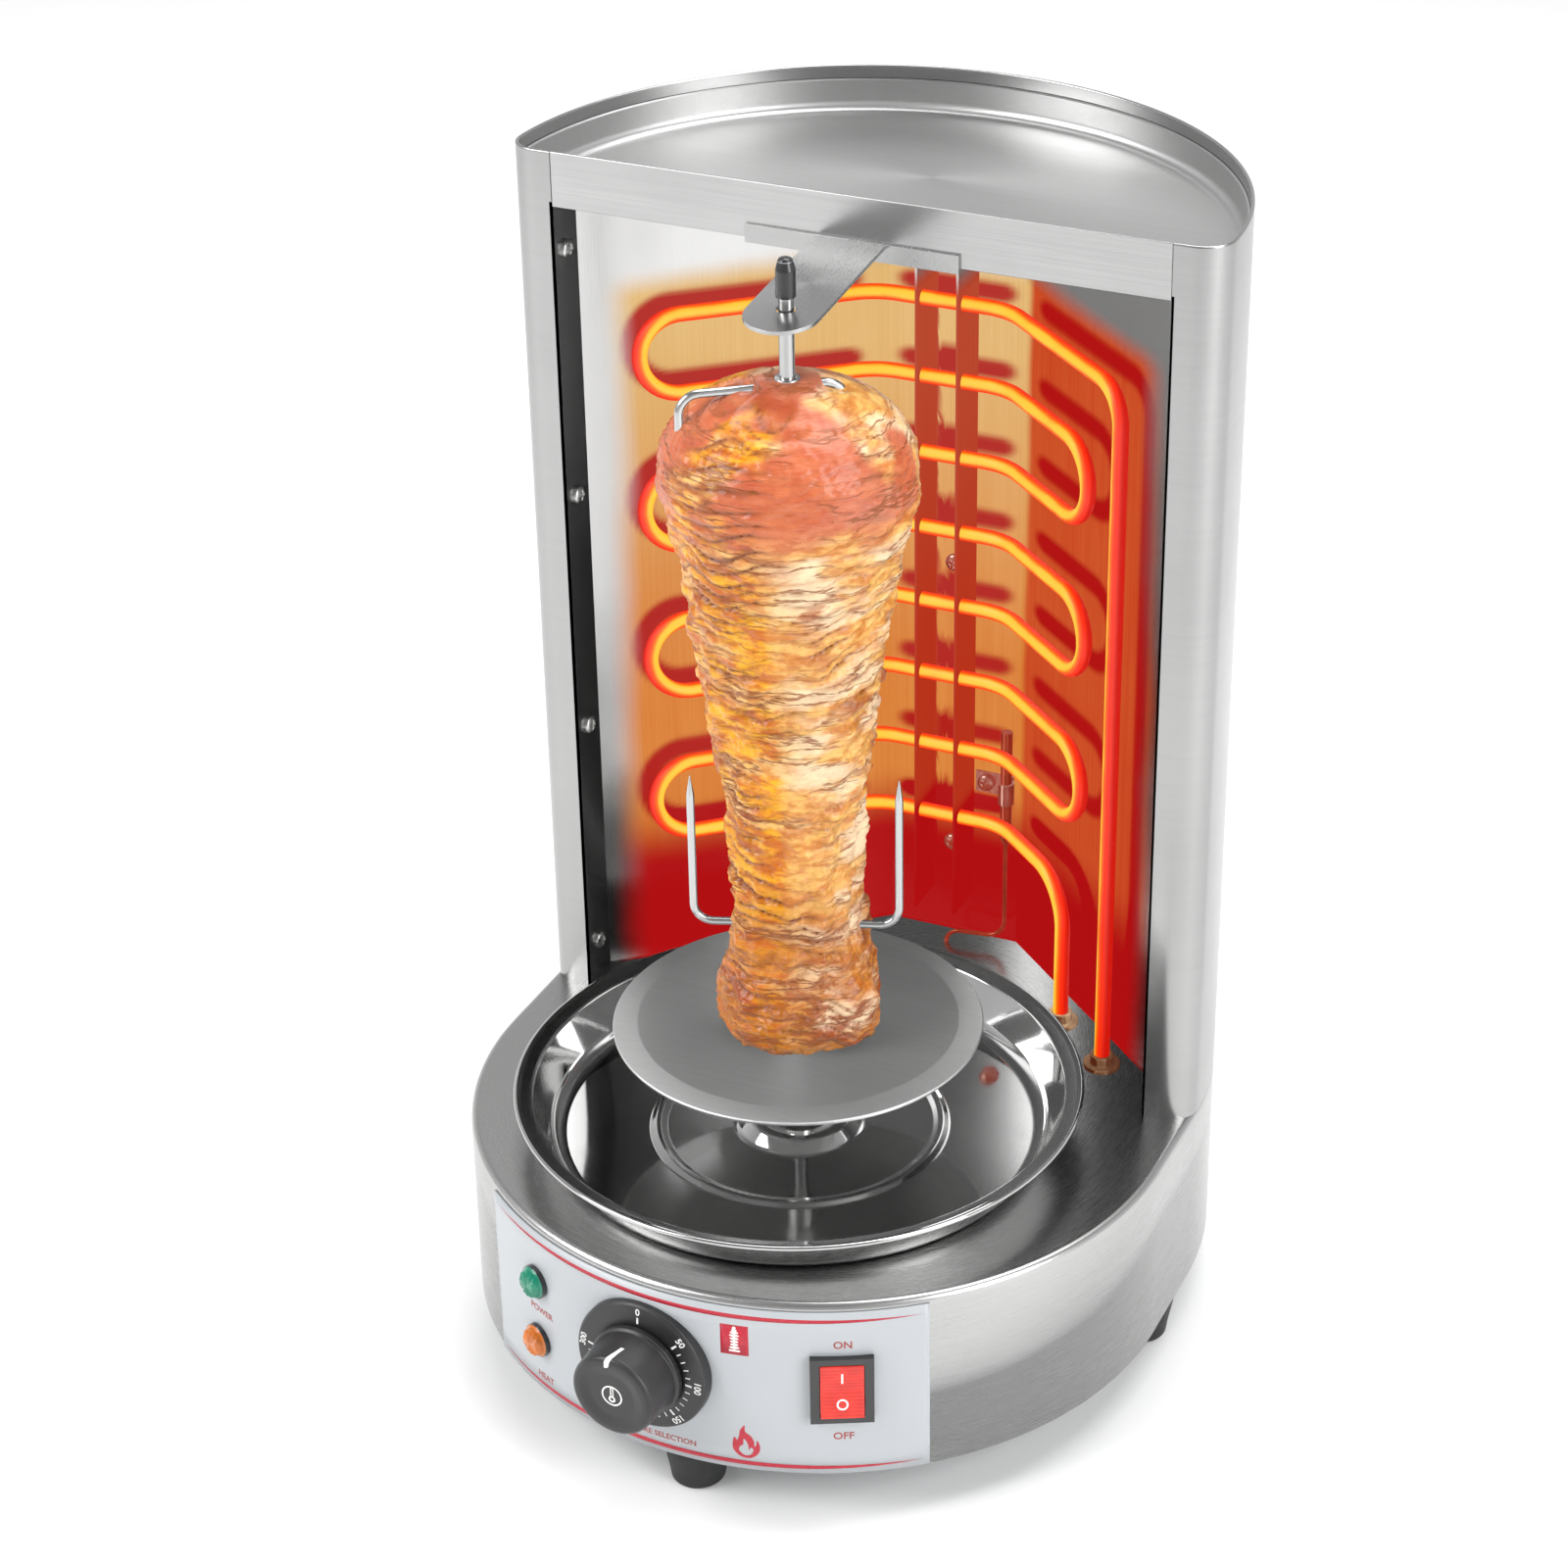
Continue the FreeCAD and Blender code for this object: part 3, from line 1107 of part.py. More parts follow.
# ------------------------------------------------------------------ drive
def drive():
    """Gear motor on its bracket, bush, output shaft and the socket that takes the spit."""
    shelf_z = top_z - base_wall - bracket_drop
    half = bracket_width / 2
    shelf = block("bracket_shelf", bracket_width, bracket_depth, bracket_wall,
                  x=0, y=spit_y - bracket_depth / 2, z=shelf_z)
    legs = [
        block(f"bracket_leg_{name}", bracket_wall, bracket_depth, bracket_drop,
              x=side * (half - bracket_wall / 2), y=spit_y - bracket_depth / 2, z=shelf_z)
        for name, side in (("left", -1), ("right", 1))
    ]
    ears = [
        block(f"bracket_ear_{name}", bracket_ear, bracket_depth, bracket_wall,
              x=side * (half + bracket_ear / 2), y=spit_y - bracket_depth / 2,
              z=top_z - base_wall - bracket_wall)
        for name, side in (("left", -1), ("right", 1))
    ]
    shaft_hole = cylinder("bracket_hole", coupling_radius + bracket_hole_play, 2 * pierce,
                          y=spit_y, z=shelf_z - pierce)
    screw_spots = [(-motor_screw_x, spit_y), (motor_screw_x, spit_y)]
    holes = [
        screw_hole(f"bracket_screw_hole_{index}", pierce, x=x, y=y, z=shelf_z)
        for index, (x, y) in enumerate(screw_spots)
    ]
    blank = fuse("bracket_blank", shelf, *legs, *ears)
    piece(cut("bracket", blank, shaft_hole, *holes), "motor_bracket")

    can = cylinder("motor_can", motor_radius, motor_height, y=spit_y, z=shelf_z - motor_height)
    bore_floor = 0.5  # room under the shaft's inner end
    shaft_bore = cylinder("motor_bore", shaft_radius + running_fit, shaft_sink + pierce,
                          y=spit_y, z=shelf_z - shaft_sink - bore_floor)
    screw_bores = [
        screw_hole(f"motor_screw_bore_{index}", motor_screw_length + 1, x=x, y=y, z=shelf_z)
        for index, (x, y) in enumerate(screw_spots)
    ]
    piece(cut("motor", can, shaft_bore, *screw_bores), "gear_motor")
    set_screws = [
        screw(f"motor_screw_{index}", motor_screw_length, x=x, y=y, z=shelf_z + bracket_wall)
        for index, (x, y) in enumerate(screw_spots)
    ]
    piece(group("motor_screw_set", *set_screws), "motor_screws")

    sleeve = cylinder("bush_sleeve", bush_radius, bush_length, y=spit_y, z=top_z - bush_length)
    flange = cylinder("bush_flange", bush_radius + bush_lap, bush_flange, y=spit_y, z=top_z)
    bore = cylinder("bush_bore", coupling_radius + running_fit, bush_length + 2 * pierce,
                    y=spit_y, z=top_z - bush_length - pierce)
    piece(cut("bush", fuse("bush_blank", sleeve, flange), bore), "shaft_bush")

    tail_z = top_z - coupling_tail
    shaft = cylinder("output_shaft", shaft_radius, shaft_sink + shaft_reach,
                     y=spit_y, z=shelf_z - shaft_sink)
    piece(shaft, "drive_shaft")
    shaft_end = shelf_z + shaft_reach
    barrel = cylinder("coupling_barrel", coupling_radius, coupling_top + coupling_tail, y=spit_y, z=tail_z)
    low_bore = cylinder("coupling_low", shaft_radius, shaft_end - tail_z + pierce,
                        y=spit_y, z=tail_z - pierce)
    high_bore = cylinder("coupling_high", rod_radius + running_fit, coupling_top,
                         y=spit_y, z=top_z + socket_floor)
    piece(cut("coupling", barrel, low_bore, high_bore), "drive_coupling")


# ------------------------------------------------------------------ spit and what turns with it
def spit():
    """The rod with its cap, hub and disc."""
    rod = cylinder("rod", rod_radius, rod_top - rod_lift, y=spit_y, z=top_z + rod_lift)
    piece(rod, "spit_rod")
    rod_end = top_z + rod_top
    cap_low = rod_end + cap_crown - cap_length
    cap_shoulder = 0.5  # the cap's shoulder below its crown
    cap = spun("cap", [
        (rod_radius, cap_low), (cap_radius, cap_low), (cap_radius, rod_end - cap_crown),
        (cap_radius - cap_taper, rod_end + cap_crown - cap_shoulder), (0, rod_end + cap_crown),
        (0, rod_end), (rod_radius, rod_end),
    ])
    piece(place(cap, y=spit_y), "rod_cap")
    level = top_z + disc_level
    flat = disc_radius - disc_edge
    under = level - disc_wall
    disc = spun("disc", [
        (rod_radius, under), (flat, under), (disc_radius, under - disc_dip),
        (disc_radius, level - disc_dip), (flat, level), (rod_radius, level),
    ])
    piece(place(disc, y=spit_y), "meat_disc")
    hub_low = under - hub_height
    hub = cylinder("hub_barrel", hub_radius, hub_height, y=spit_y, z=hub_low)
    hub_bore = cylinder("hub_bore", rod_radius, hub_height + 2 * pierce, y=spit_y, z=hub_low - pierce)
    piece(cut("hub", hub, hub_bore), "disc_hub")


def fork(name, level, way, turn, far_side):
    """A two-pronged wire fork welded to a ring on the rod; way is +1 for prongs up."""
    half, far = number(fork_half), number(far_side)
    z = number(top_z + level)
    tip = z + way * number(fork_prong)
    spots = [Vector(-half, 0, tip), Vector(-half, 0, z), Vector(far, 0, z), Vector(far, 0, tip)]
    bend = number(fork_bend)
    wire = tube_along(bent_wire(spots, [bend, bend]), number(fork_wire_radius))
    tall = number(fork_ring_height)
    ring = Part.makeCylinder(number(rod_radius + fork_ring_wall), tall, Vector(0, 0, z - tall / 2))
    bore = Part.makeCylinder(number(rod_radius), 2 * tall, Vector(0, 0, z - tall))
    thing = made(name, wire.fuse(ring).cut(bore).removeSplitter())
    place(thing, y=spit_y, turn=turn)


def meat_stack():
    """The stacked meat: a waisted, domed column on the disc, bored by the rod."""
    base = top_z + disc_level
    shape = [
        (0.55, 0.0), (0.64, 0.03), (0.64, 0.06), (0.55, 0.115), (0.5, 0.168), (0.51, 0.225),
        (0.57, 0.387), (0.685, 0.54), (0.84, 0.75), (0.94, 0.817), (1.0, 0.868), (0.95, 0.911),
        (0.75, 0.955), (0.47, 0.982), (0.16, 1.0),
    ]
    corners = [(meat_radius * wide, base + meat_height * high) for wide, high in shape]
    corners = [(rod_radius, base)] + corners + [(rod_radius, base + meat_height)]
    piece(place(spun("meat", corners), y=spit_y), "meat_stack")


def drip_pan():
    """A pressed pan with a raised, pierced middle, a ring pressed in its floor and a flat rim."""
    floor = top_z + pan_lift_gap
    boss = floor + pan_boss_height
    rim = top_z + pan_rim_level
    crest = floor + pan_ring_rise
    boss_slope = 3  # plan width of the raised middle's side
    inner = [
        (pan_hole_radius, boss), (pan_boss_radius - boss_slope + 1, boss), (pan_boss_radius + 1, floor),
        (pan_ring_radius - pan_ring_foot, floor), (pan_ring_radius - pan_ring_crest, crest),
        (pan_ring_radius + pan_ring_crest, crest), (pan_ring_radius + pan_ring_foot, floor),
        (pan_floor_radius, floor),
    ]
    side = [
        (pan_floor_radius + pan_heel, floor + pan_heel_rise),
        (pan_radius - pan_rim_width, rim - pan_wall - pan_rim_dip),
    ]
    under = inner + side + [(pan_radius, rim - pan_wall)]
    over = [(radius, level + pan_wall) for radius, level in inner]
    over += [(radius - pan_lean, level + pan_wall) for radius, level in side]
    over.append((pan_radius, rim))
    piece(place(spun("pan", under + list(reversed(over))), y=spit_y), "drip_pan")


def spit_arm():
    """A T-shaped strap on the fascia; its tongue steadies the top of the rod."""
    root_z = rim_z - arm_drop
    tip_y = spit_y - arm_overreach
    strip = block("arm_strip", arm_strip_width, arm_wall, arm_strip_height,
                  x=0, y=post_front_y - arm_wall, z=root_z - arm_strip_height)
    body = new_body("tongue")
    knee_y = post_front_y - arm_knee
    knee_z = root_z - arm_knee_drop
    corners = [
        (post_front_y, root_z), (knee_y, knee_z), (tip_y, root_z - arm_slope),
        (tip_y, root_z - arm_slope - arm_wall), (knee_y, knee_z - arm_wall),
        (post_front_y, root_z - arm_wall),
    ]
    pad(body, outline(body, "YZ_Plane", corners), arm_width, both_ways=True)
    radius = arm_width / 2
    depth = post_front_y - tip_y
    tall = arm_slope + arm_wall + 2 * pierce
    low = root_z - tall + pierce
    blank = block("tongue_blank", arm_width, depth - radius, tall, x=0, y=tip_y + radius, z=low)
    nose = cylinder("tongue_nose", radius, tall, y=tip_y + radius, z=low)
    rounded = doc.addObject("Part::Common", "tongue_rounded")
    rounded.Base = body
    rounded.Tool = fuse("tongue_shape", blank, nose)
    hole = cylinder("arm_hole", rod_radius + arm_hole_play, tall, y=spit_y, z=low)
    piece(cut("arm", fuse("arm_blank", strip, rounded), hole), "spit_arm")


# ------------------------------------------------------------------ build, check and write
base_housing()
bottom_plate()
feet()
cord_gland()
terminal_block()
control_panel()
thermostat()
rocker_switch()
indicator_lamps()
outer_shell()
top_tray()
fascia()
reflector()
screws()
heating_element()
element_collars()
element_holder()
sensing_bulb()
drive()
spit()
fork("lower_fork", lower_fork_level, 1, lower_fork_turn, fork_half)
fork("upper_fork", upper_fork_level, -1, upper_fork_turn, upper_fork_short)
meat_stack()
drip_pan()
spit_arm()
doc.recompute()

faults = []
for thing in doc.Objects:
    if "Invalid" in thing.State or "Error" in thing.State:
        faults.append(f"{thing.Name}: {thing.State}")
for thing in pieces:
    if thing.Shape.isNull() or not thing.Shape.isValid() or not thing.Shape.Solids:
        faults.append(f"{thing.Label}: no valid solid")
if faults:
    raise RuntimeError("; ".join(faults))

os.makedirs("parts", exist_ok=True)
for thing in pieces:
    thing.Shape.exportStep(f"parts/{thing.Label}.step")
    box = thing.Shape.BoundBox
    print(f"{thing.Label:20s} solids {len(thing.Shape.Solids)}  volume {thing.Shape.Volume:10.0f}  "
          f"x {box.XMin:7.1f} {box.XMax:7.1f}  y {box.YMin:7.1f} {box.YMax:7.1f}  "
          f"z {box.ZMin:6.1f} {box.ZMax:6.1f}")
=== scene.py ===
import math
from contextlib import contextmanager

import bmesh
import bpy
import numpy as np
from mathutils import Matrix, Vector


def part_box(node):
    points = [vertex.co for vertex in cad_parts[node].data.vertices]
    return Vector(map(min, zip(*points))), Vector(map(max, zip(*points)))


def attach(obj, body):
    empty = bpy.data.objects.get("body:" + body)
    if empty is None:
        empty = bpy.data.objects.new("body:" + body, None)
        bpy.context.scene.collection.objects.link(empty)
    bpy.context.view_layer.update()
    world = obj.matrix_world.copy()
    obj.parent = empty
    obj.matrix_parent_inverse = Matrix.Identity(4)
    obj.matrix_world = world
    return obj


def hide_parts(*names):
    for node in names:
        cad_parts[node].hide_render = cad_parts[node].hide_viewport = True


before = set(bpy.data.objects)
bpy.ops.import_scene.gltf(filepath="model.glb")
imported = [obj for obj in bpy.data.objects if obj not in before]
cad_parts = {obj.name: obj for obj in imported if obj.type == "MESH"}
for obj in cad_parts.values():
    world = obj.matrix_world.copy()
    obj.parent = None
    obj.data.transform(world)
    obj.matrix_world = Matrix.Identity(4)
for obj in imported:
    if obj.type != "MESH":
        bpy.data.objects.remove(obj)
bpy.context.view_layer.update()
mm = 0.001

# ---------------------------------------------------------------------------- base drum
# One sheet of stainless steel drawn into a drum: two straight sides between two half
# circles, a rolled top edge and an open foot. Its grain runs round the wall.


def surface(name, points, around=False, ring=False, caps=False, flip=False):
    """A mesh over a grid of points[i, j]: each quad joins (i, j), (i+1, j), (i+1, j+1), (i, j+1).

    around closes the grid along i, ring closes it along j, and caps fills the two end rings.
    The UV map "grain" holds the distance travelled along i and along j, in metres.
    """
    rows, columns = points.shape[:2]
    i, j = np.meshgrid(
        np.arange(rows if around else rows - 1),
        np.arange(columns if ring else columns - 1),
        indexing="ij",
    )
    i, j = i.ravel(), j.ravel()
    after_i, after_j = (i + 1) % rows, (j + 1) % columns
    corners = np.stack([
        i * columns + j, after_i * columns + j, after_i * columns + after_j, i * columns + after_j,
    ], axis=1)
    run_i = np.linalg.norm(np.roll(points, -1, 0) - points, axis=2).max(1)
    run_j = np.linalg.norm(np.roll(points, -1, 1) - points, axis=2).mean(0)
    u = np.concatenate([[0], np.cumsum(run_i)])
    v = np.concatenate([[0], np.cumsum(run_j)])
    grain = np.stack([
        np.stack([u[i], v[j]], 1), np.stack([u[i + 1], v[j]], 1),
        np.stack([u[i + 1], v[j + 1]], 1), np.stack([u[i], v[j + 1]], 1),
    ], axis=1)
    if flip:
        corners, grain = corners[:, ::-1], grain[:, ::-1]
    faces = corners.tolist()
    if caps:
        last = (rows - 1) * columns
        ends = [list(range(columns)), list(range(last, last + columns))[::-1]]
        faces += [end[::-1] for end in ends] if flip else ends
    mesh = bpy.data.meshes.new(name)
    mesh.from_pydata(points.reshape(-1, 3), [], faces)
    layer = mesh.uv_layers.new(name="grain")
    flat = np.zeros((len(mesh.loops), 2))
    flat[: grain.shape[0] * 4] = grain.reshape(-1, 2)
    layer.data.foreach_set("uv", flat.ravel())
    merged(mesh)
    return mesh


@contextmanager
def edited(mesh):
    """Open a mesh for changes to its faces, and put the result back."""
    work = bmesh.new()
    work.from_mesh(mesh)
    yield work
    work.to_mesh(mesh)
    work.free()


def merged(mesh, outward=False):
    """Close seams and poles; on a closed solid, also turn every face outwards."""
    with edited(mesh) as work:
        bmesh.ops.remove_doubles(work, verts=work.verts, dist=1e-6)
        if outward:
            bmesh.ops.recalc_face_normals(work, faces=work.faces)


def carried(path, outward, profile):
    """Points of a profile carried along a plan path.

    Point (i, j) is path[i] + outward[i] * profile[j, 0], at the height profile[j, 1].
    """
    flat = path[:, None, :] + outward[:, None, :] * profile[None, :, :1]
    height = np.broadcast_to(profile[None, :, 1:], flat.shape[:2] + (1,))
    return np.concatenate([flat, height], axis=2)


def rounded(corners, radii, per_arc=8):
    """A line through corners with a tangent arc of the given radius at each inner corner.

    An arc leaves its corner by radius / tan(half the corner's angle) and turns at an even rate.
    """
    corners = [np.array(corner, float) for corner in corners]
    line = [corners[0]]
    for before, here, after, radius in zip(corners, corners[1:], corners[2:], radii):
        if radius <= 0:
            line.append(here)
            continue
        towards = (before - here) / np.linalg.norm(before - here)
        away = (after - here) / np.linalg.norm(after - here)
        half = math.acos(np.clip(towards @ away, -1, 1)) / 2
        inward = (towards + away) / np.linalg.norm(towards + away)
        centre = here + inward * radius / math.sin(half)
        start = here + towards * radius / math.tan(half) - centre
        across = here + away * radius / math.tan(half) - centre
        sweep = math.pi - 2 * half
        turn = np.linspace(0, 1, per_arc + 1)[:, None] * sweep
        line.extend(centre + (start * np.sin(sweep - turn) + across * np.sin(turn)) / math.sin(sweep))
    line.append(corners[-1])
    return np.array(line)


def show(name, mesh, material, body, slot, *stands_for, crease=40):
    """Put a finished mesh into the scene as a piece that rides on a body."""
    mesh.shade_smooth()
    mesh.set_sharp_from_angle(angle=math.radians(crease))
    mesh.materials.clear()
    mesh.materials.append(material)
    piece = bpy.data.objects.new(name, mesh)
    bpy.context.scene.collection.objects.link(piece)
    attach(piece, body)
    if stands_for:
        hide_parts(*stands_for)
    return piece


def thickened(piece, wall, inward=True):
    """Give a sheet its wall, measured from the surface that is drawn."""
    solid = piece.modifiers.new("wall", "SOLIDIFY")
    solid.thickness = wall
    solid.offset = -1 if inward else 1
    solid.use_even_offset = True
    return piece


def node_input(tree, made, place, value):
    """Link a node's output to one input, or set the input to a value."""
    if isinstance(value, bpy.types.NodeSocket):
        tree.links.new(value, made.inputs[place])
    else:
        made.inputs[place].default_value = value


def node(tree, kind, settings=(), **inputs):
    """Add a shader node; a one-letter input is the first, second or third by its place."""
    made = tree.nodes.new(kind)
    for name, value in dict(settings).items():
        setattr(made, name, value)
    for name, value in inputs.items():
        node_input(tree, made, "abc".index(name) if len(name) == 1 else name.replace("_", " "), value)
    return made


def sums(tree, how, a, b=0.0, c=0.0):
    """One step of arithmetic on values; clamped to 0..1 when how ends with a dot."""
    step = how.rstrip(".")
    made = node(tree, "ShaderNodeMath", {"operation": step, "use_clamp": how != step}, a=a, b=b)
    if step == "MULTIPLY_ADD":
        node_input(tree, made, 2, c)
    return made.outputs[0]


mix_first, mix_second = 6, 7        # the Mix node's two colour inputs, by their places


def between(tree, share, a, b):
    """A colour part way from a to b."""
    made = node(tree, "ShaderNodeMix", {"data_type": "RGBA", "clamp_factor": True}, Factor=share)
    node_input(tree, made, mix_first, a)
    node_input(tree, made, mix_second, b)
    return made.outputs[2]


def ramp(tree, value, low, high, start=0.0, end=1.0):
    """A smooth step from start to end while value goes from low to high."""
    return node(tree, "ShaderNodeMapRange", {"interpolation_type": "SMOOTHSTEP"}, Value=value,
                From_Min=low, From_Max=high, To_Min=start, To_Max=end).outputs[0]


def colour(red, green, blue):
    """An opaque colour, in linear light."""
    return (red, green, blue, 1.0)


def toned(tint, share, lift=0.0):
    """The same colour with each channel times share plus lift, up to 1."""
    return tuple(min(1.0, channel * share + lift) for channel in tint[:3]) + (1.0,)


def finish(name, base, metallic=0.0, roughness=0.5, **sockets):
    """A new material: its tree, its Principled shader and itself."""
    material = bpy.data.materials.new(name)
    material.use_nodes = True
    shader = material.node_tree.nodes["Principled BSDF"]
    shader.inputs["Base Color"].default_value = base
    shader.inputs["Metallic"].default_value = metallic
    shader.inputs["Roughness"].default_value = roughness
    for socket, value in sockets.items():
        shader.inputs[socket.replace("_", " ")].default_value = value
    return material.node_tree, shader, material


def feed(tree, shader, **outputs):
    """Link node outputs to the shader's sockets, by their names."""
    for socket, output in outputs.items():
        tree.links.new(output, shader.inputs[socket.replace("_", " ")])


def bumped(tree, shader, height, distance, strength=1.0):
    """Feed a height to the shader's normal; distance is in metres."""
    bump = node(tree, "ShaderNodeBump", Height=height, Distance=distance, Strength=strength)
    feed(tree, shader, Normal=bump.outputs[0])


def noise(tree, vector, scale, detail=4.0, rough=0.55):
    """Cloudy noise from 0 to 1, with scale waves to the metre."""
    return node(tree, "ShaderNodeTexNoise", Vector=vector, Scale=scale, Detail=detail,
                Roughness=rough).outputs["Fac"]


def object_place(tree):
    """The place on the object, in metres."""
    return node(tree, "ShaderNodeTexCoord").outputs["Object"]


def group_of(name, inputs, outputs):
    """An empty node group with named sockets: its tree, its input node and its output node."""
    tree = bpy.data.node_groups.new(name, "ShaderNodeTree")
    for socket, kind in inputs:
        tree.interface.new_socket(name=socket, in_out="INPUT", socket_type=kind)
    for socket, kind in outputs:
        tree.interface.new_socket(name=socket, in_out="OUTPUT", socket_type=kind)
    return tree, tree.nodes.new("NodeGroupInput"), tree.nodes.new("NodeGroupOutput")


def make_grain():
    """Brushed grain: long fine scratches, broader streaks across them, and faint clouding."""
    tree, given, out = group_of(
        "steel_grain",
        [("Place", "NodeSocketVector"), ("Stretch", "NodeSocketVector")],
        [("Tone", "NodeSocketFloat"), ("Height", "NodeSocketFloat")],
    )
    drawn = node(tree, "ShaderNodeVectorMath", {"operation": "MULTIPLY"},
                 a=given.outputs["Place"], b=given.outputs["Stretch"]).outputs[0]
    fine = noise(tree, drawn, 1.0, 3.0, 0.6)
    broad = noise(tree, drawn, 0.13, 3.0)
    cloud = noise(tree, given.outputs["Place"], 14.0, 3.0)
    tone = sums(tree, "ADD", sums(tree, "MULTIPLY", fine, 0.45), sums(tree, "MULTIPLY", broad, 0.2))
    tone = sums(tree, "ADD", tone, sums(tree, "MULTIPLY", cloud, 0.35))
    tree.links.new(tone, out.inputs["Tone"])
    tree.links.new(fine, out.inputs["Height"])
    return tree


steel_grain = make_grain()


def grain_on(tree, place, stretch):
    """The steel grain's tone and height at a place."""
    made = node(tree, "ShaderNodeGroup", {"node_tree": steel_grain}, Place=place, Stretch=stretch)
    return made.outputs["Tone"], made.outputs["Height"]


def brushed_steel(name, tint, roughness, stretch, unwrapped=True, streak=0.04, scratch=0.0004):
    """Brushed stainless steel; stretch is the grain's frequency along each way of its place."""
    tree, shader, material = finish(name, tint, 1.0, roughness, Anisotropic=0.35)
    if unwrapped:
        place = node(tree, "ShaderNodeUVMap", {"uv_map": "grain"}).outputs[0]
    else:
        place = object_place(tree)
    tone, height = grain_on(tree, place, stretch)
    streaks = ramp(tree, tone, 0.35, 0.65)
    feed(tree, shader, Base_Color=between(tree, streaks, toned(tint, 1 - streak), toned(tint, 1 + streak)),
         Roughness=ramp(tree, tone, 0.3, 0.7, roughness + 0.025, roughness - 0.02))
    bumped(tree, shader, height, scratch * mm)
    return material


drum_low, drum_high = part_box("base_housing")
base_radius = drum_high.x
front_arc = drum_low.y + base_radius
rear_arc = drum_high.y - base_radius
top_z = drum_high.z
foot_top = drum_low.z


def obround(steps=144):
    """The drum's core line and outward ways: (cos a, sin a) about the rear, then the front centre."""
    angle = np.concatenate([np.linspace(0, np.pi, steps), np.linspace(np.pi, 2 * np.pi, steps)])
    centre = np.where(np.arange(2 * steps) < steps, rear_arc, front_arc)
    core = np.stack([np.zeros(2 * steps), centre], axis=1)
    return core, np.stack([np.cos(angle), np.sin(angle)], axis=1)


around_grain = (22, 2600, 1)
drum_steel = brushed_steel("drum_steel", colour(0.44, 0.44, 0.437), 0.27, around_grain)
drum_core, drum_out = obround()
drum_profile = rounded(
    [(base_radius, foot_top), (base_radius, top_z), (base_radius * 0.62, top_z)], [3.2 * mm], 10
)
drum_profile = np.vstack([drum_profile, [(0, top_z)]])
drum = show("base_drum", surface("base_drum", carried(drum_core, drum_out, drum_profile), around=True),
            drum_steel, "base", "brushed_stainless", "base_housing")
thickened(drum, 1.0 * mm)

# ---------------------------------------------------------------------------- bottom plate, feet, gland
# A zinc-coated cover closes the drum from below. Four tapered rubber feet are screwed
# through it, and a moulded gland at the back takes the mains lead.


def refined(node_name, name, material, slot, body="base", edge=0.0, crease=32):
    """A CAD piece with its triangles merged, its flats made whole and its edges eased."""
    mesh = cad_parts[node_name].data.copy()
    with edited(mesh) as work:
        bmesh.ops.remove_doubles(work, verts=work.verts, dist=2e-6)
        bmesh.ops.dissolve_limit(work, angle_limit=math.radians(0.4), verts=work.verts, edges=work.edges)
    piece = show(name, mesh, material, body, slot, node_name, crease=crease)
    if edge:
        ease = piece.modifiers.new("edge", "BEVEL")
        ease.width = edge
        ease.segments = 2
        ease.angle_limit = math.radians(40)
        ease.use_clamp_overlap = True
    even = piece.modifiers.new("flats", "WEIGHTED_NORMAL")
    even.keep_sharp = True
    return piece


def zinc(name, tint, spangle=90.0, roughness=0.38):
    """Zinc-coated steel: dull, with pale spangles of slightly different tone."""
    tree, shader, material = finish(name, tint, 1.0, roughness)
    place = object_place(tree)
    cells = node(tree, "ShaderNodeTexVoronoi", Vector=place, Scale=spangle).outputs["Color"]
    share = node(tree, "ShaderNodeSeparateColor", a=cells).outputs[0]
    feed(tree, shader, Base_Color=between(tree, share, toned(tint, 0.8), tint),
         Roughness=ramp(tree, noise(tree, place, 60.0), 0.3, 0.7, roughness - 0.08, roughness + 0.1))
    return material


def moulded(name, tint, roughness=0.45, grit=2600.0, depth=0.02, **sockets):
    """Moulded plastic or rubber: a fine, even grit with faint handling marks."""
    tree, shader, material = finish(name, tint, 0.0, roughness, **sockets)
    place = object_place(tree)
    grain = noise(tree, place, grit, 2.0)
    wear = noise(tree, place, 40.0, 5.0)
    handled = ramp(tree, wear, 0.45, 0.75)
    feed(tree, shader, Base_Color=between(tree, handled, tint, toned(tint, 1.35, 0.004)),
         Roughness=ramp(tree, wear, 0.3, 0.7, roughness - 0.06, roughness + 0.08))
    bumped(tree, shader, grain, depth * mm)
    return material


galvanised = zinc("galvanised", colour(0.50, 0.52, 0.53))
bright_zinc = zinc("bright_zinc", colour(0.72, 0.72, 0.70), 700.0, 0.24)
rubber = moulded("black_rubber", colour(0.012, 0.012, 0.013), 0.62, 1500.0, 0.05)
refined("bottom_plate", "bottom_cover", galvanised, "galvanised", edge=0.2 * mm)


def turned(profile, centre=(0, 0), steps=96):
    """Points of a profile (radius, height) spun about the upright line through centre."""
    angle = np.linspace(0, 2 * np.pi, steps, endpoint=False)
    outward = np.stack([np.cos(angle), np.sin(angle)], axis=1)
    return carried(np.broadcast_to(centre, outward.shape), outward, np.asarray(profile))


def coat(node_name, material):
    """Give a CAD piece whose shape is right its own material."""
    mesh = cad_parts[node_name].data
    mesh.materials.clear()
    mesh.materials.append(material)


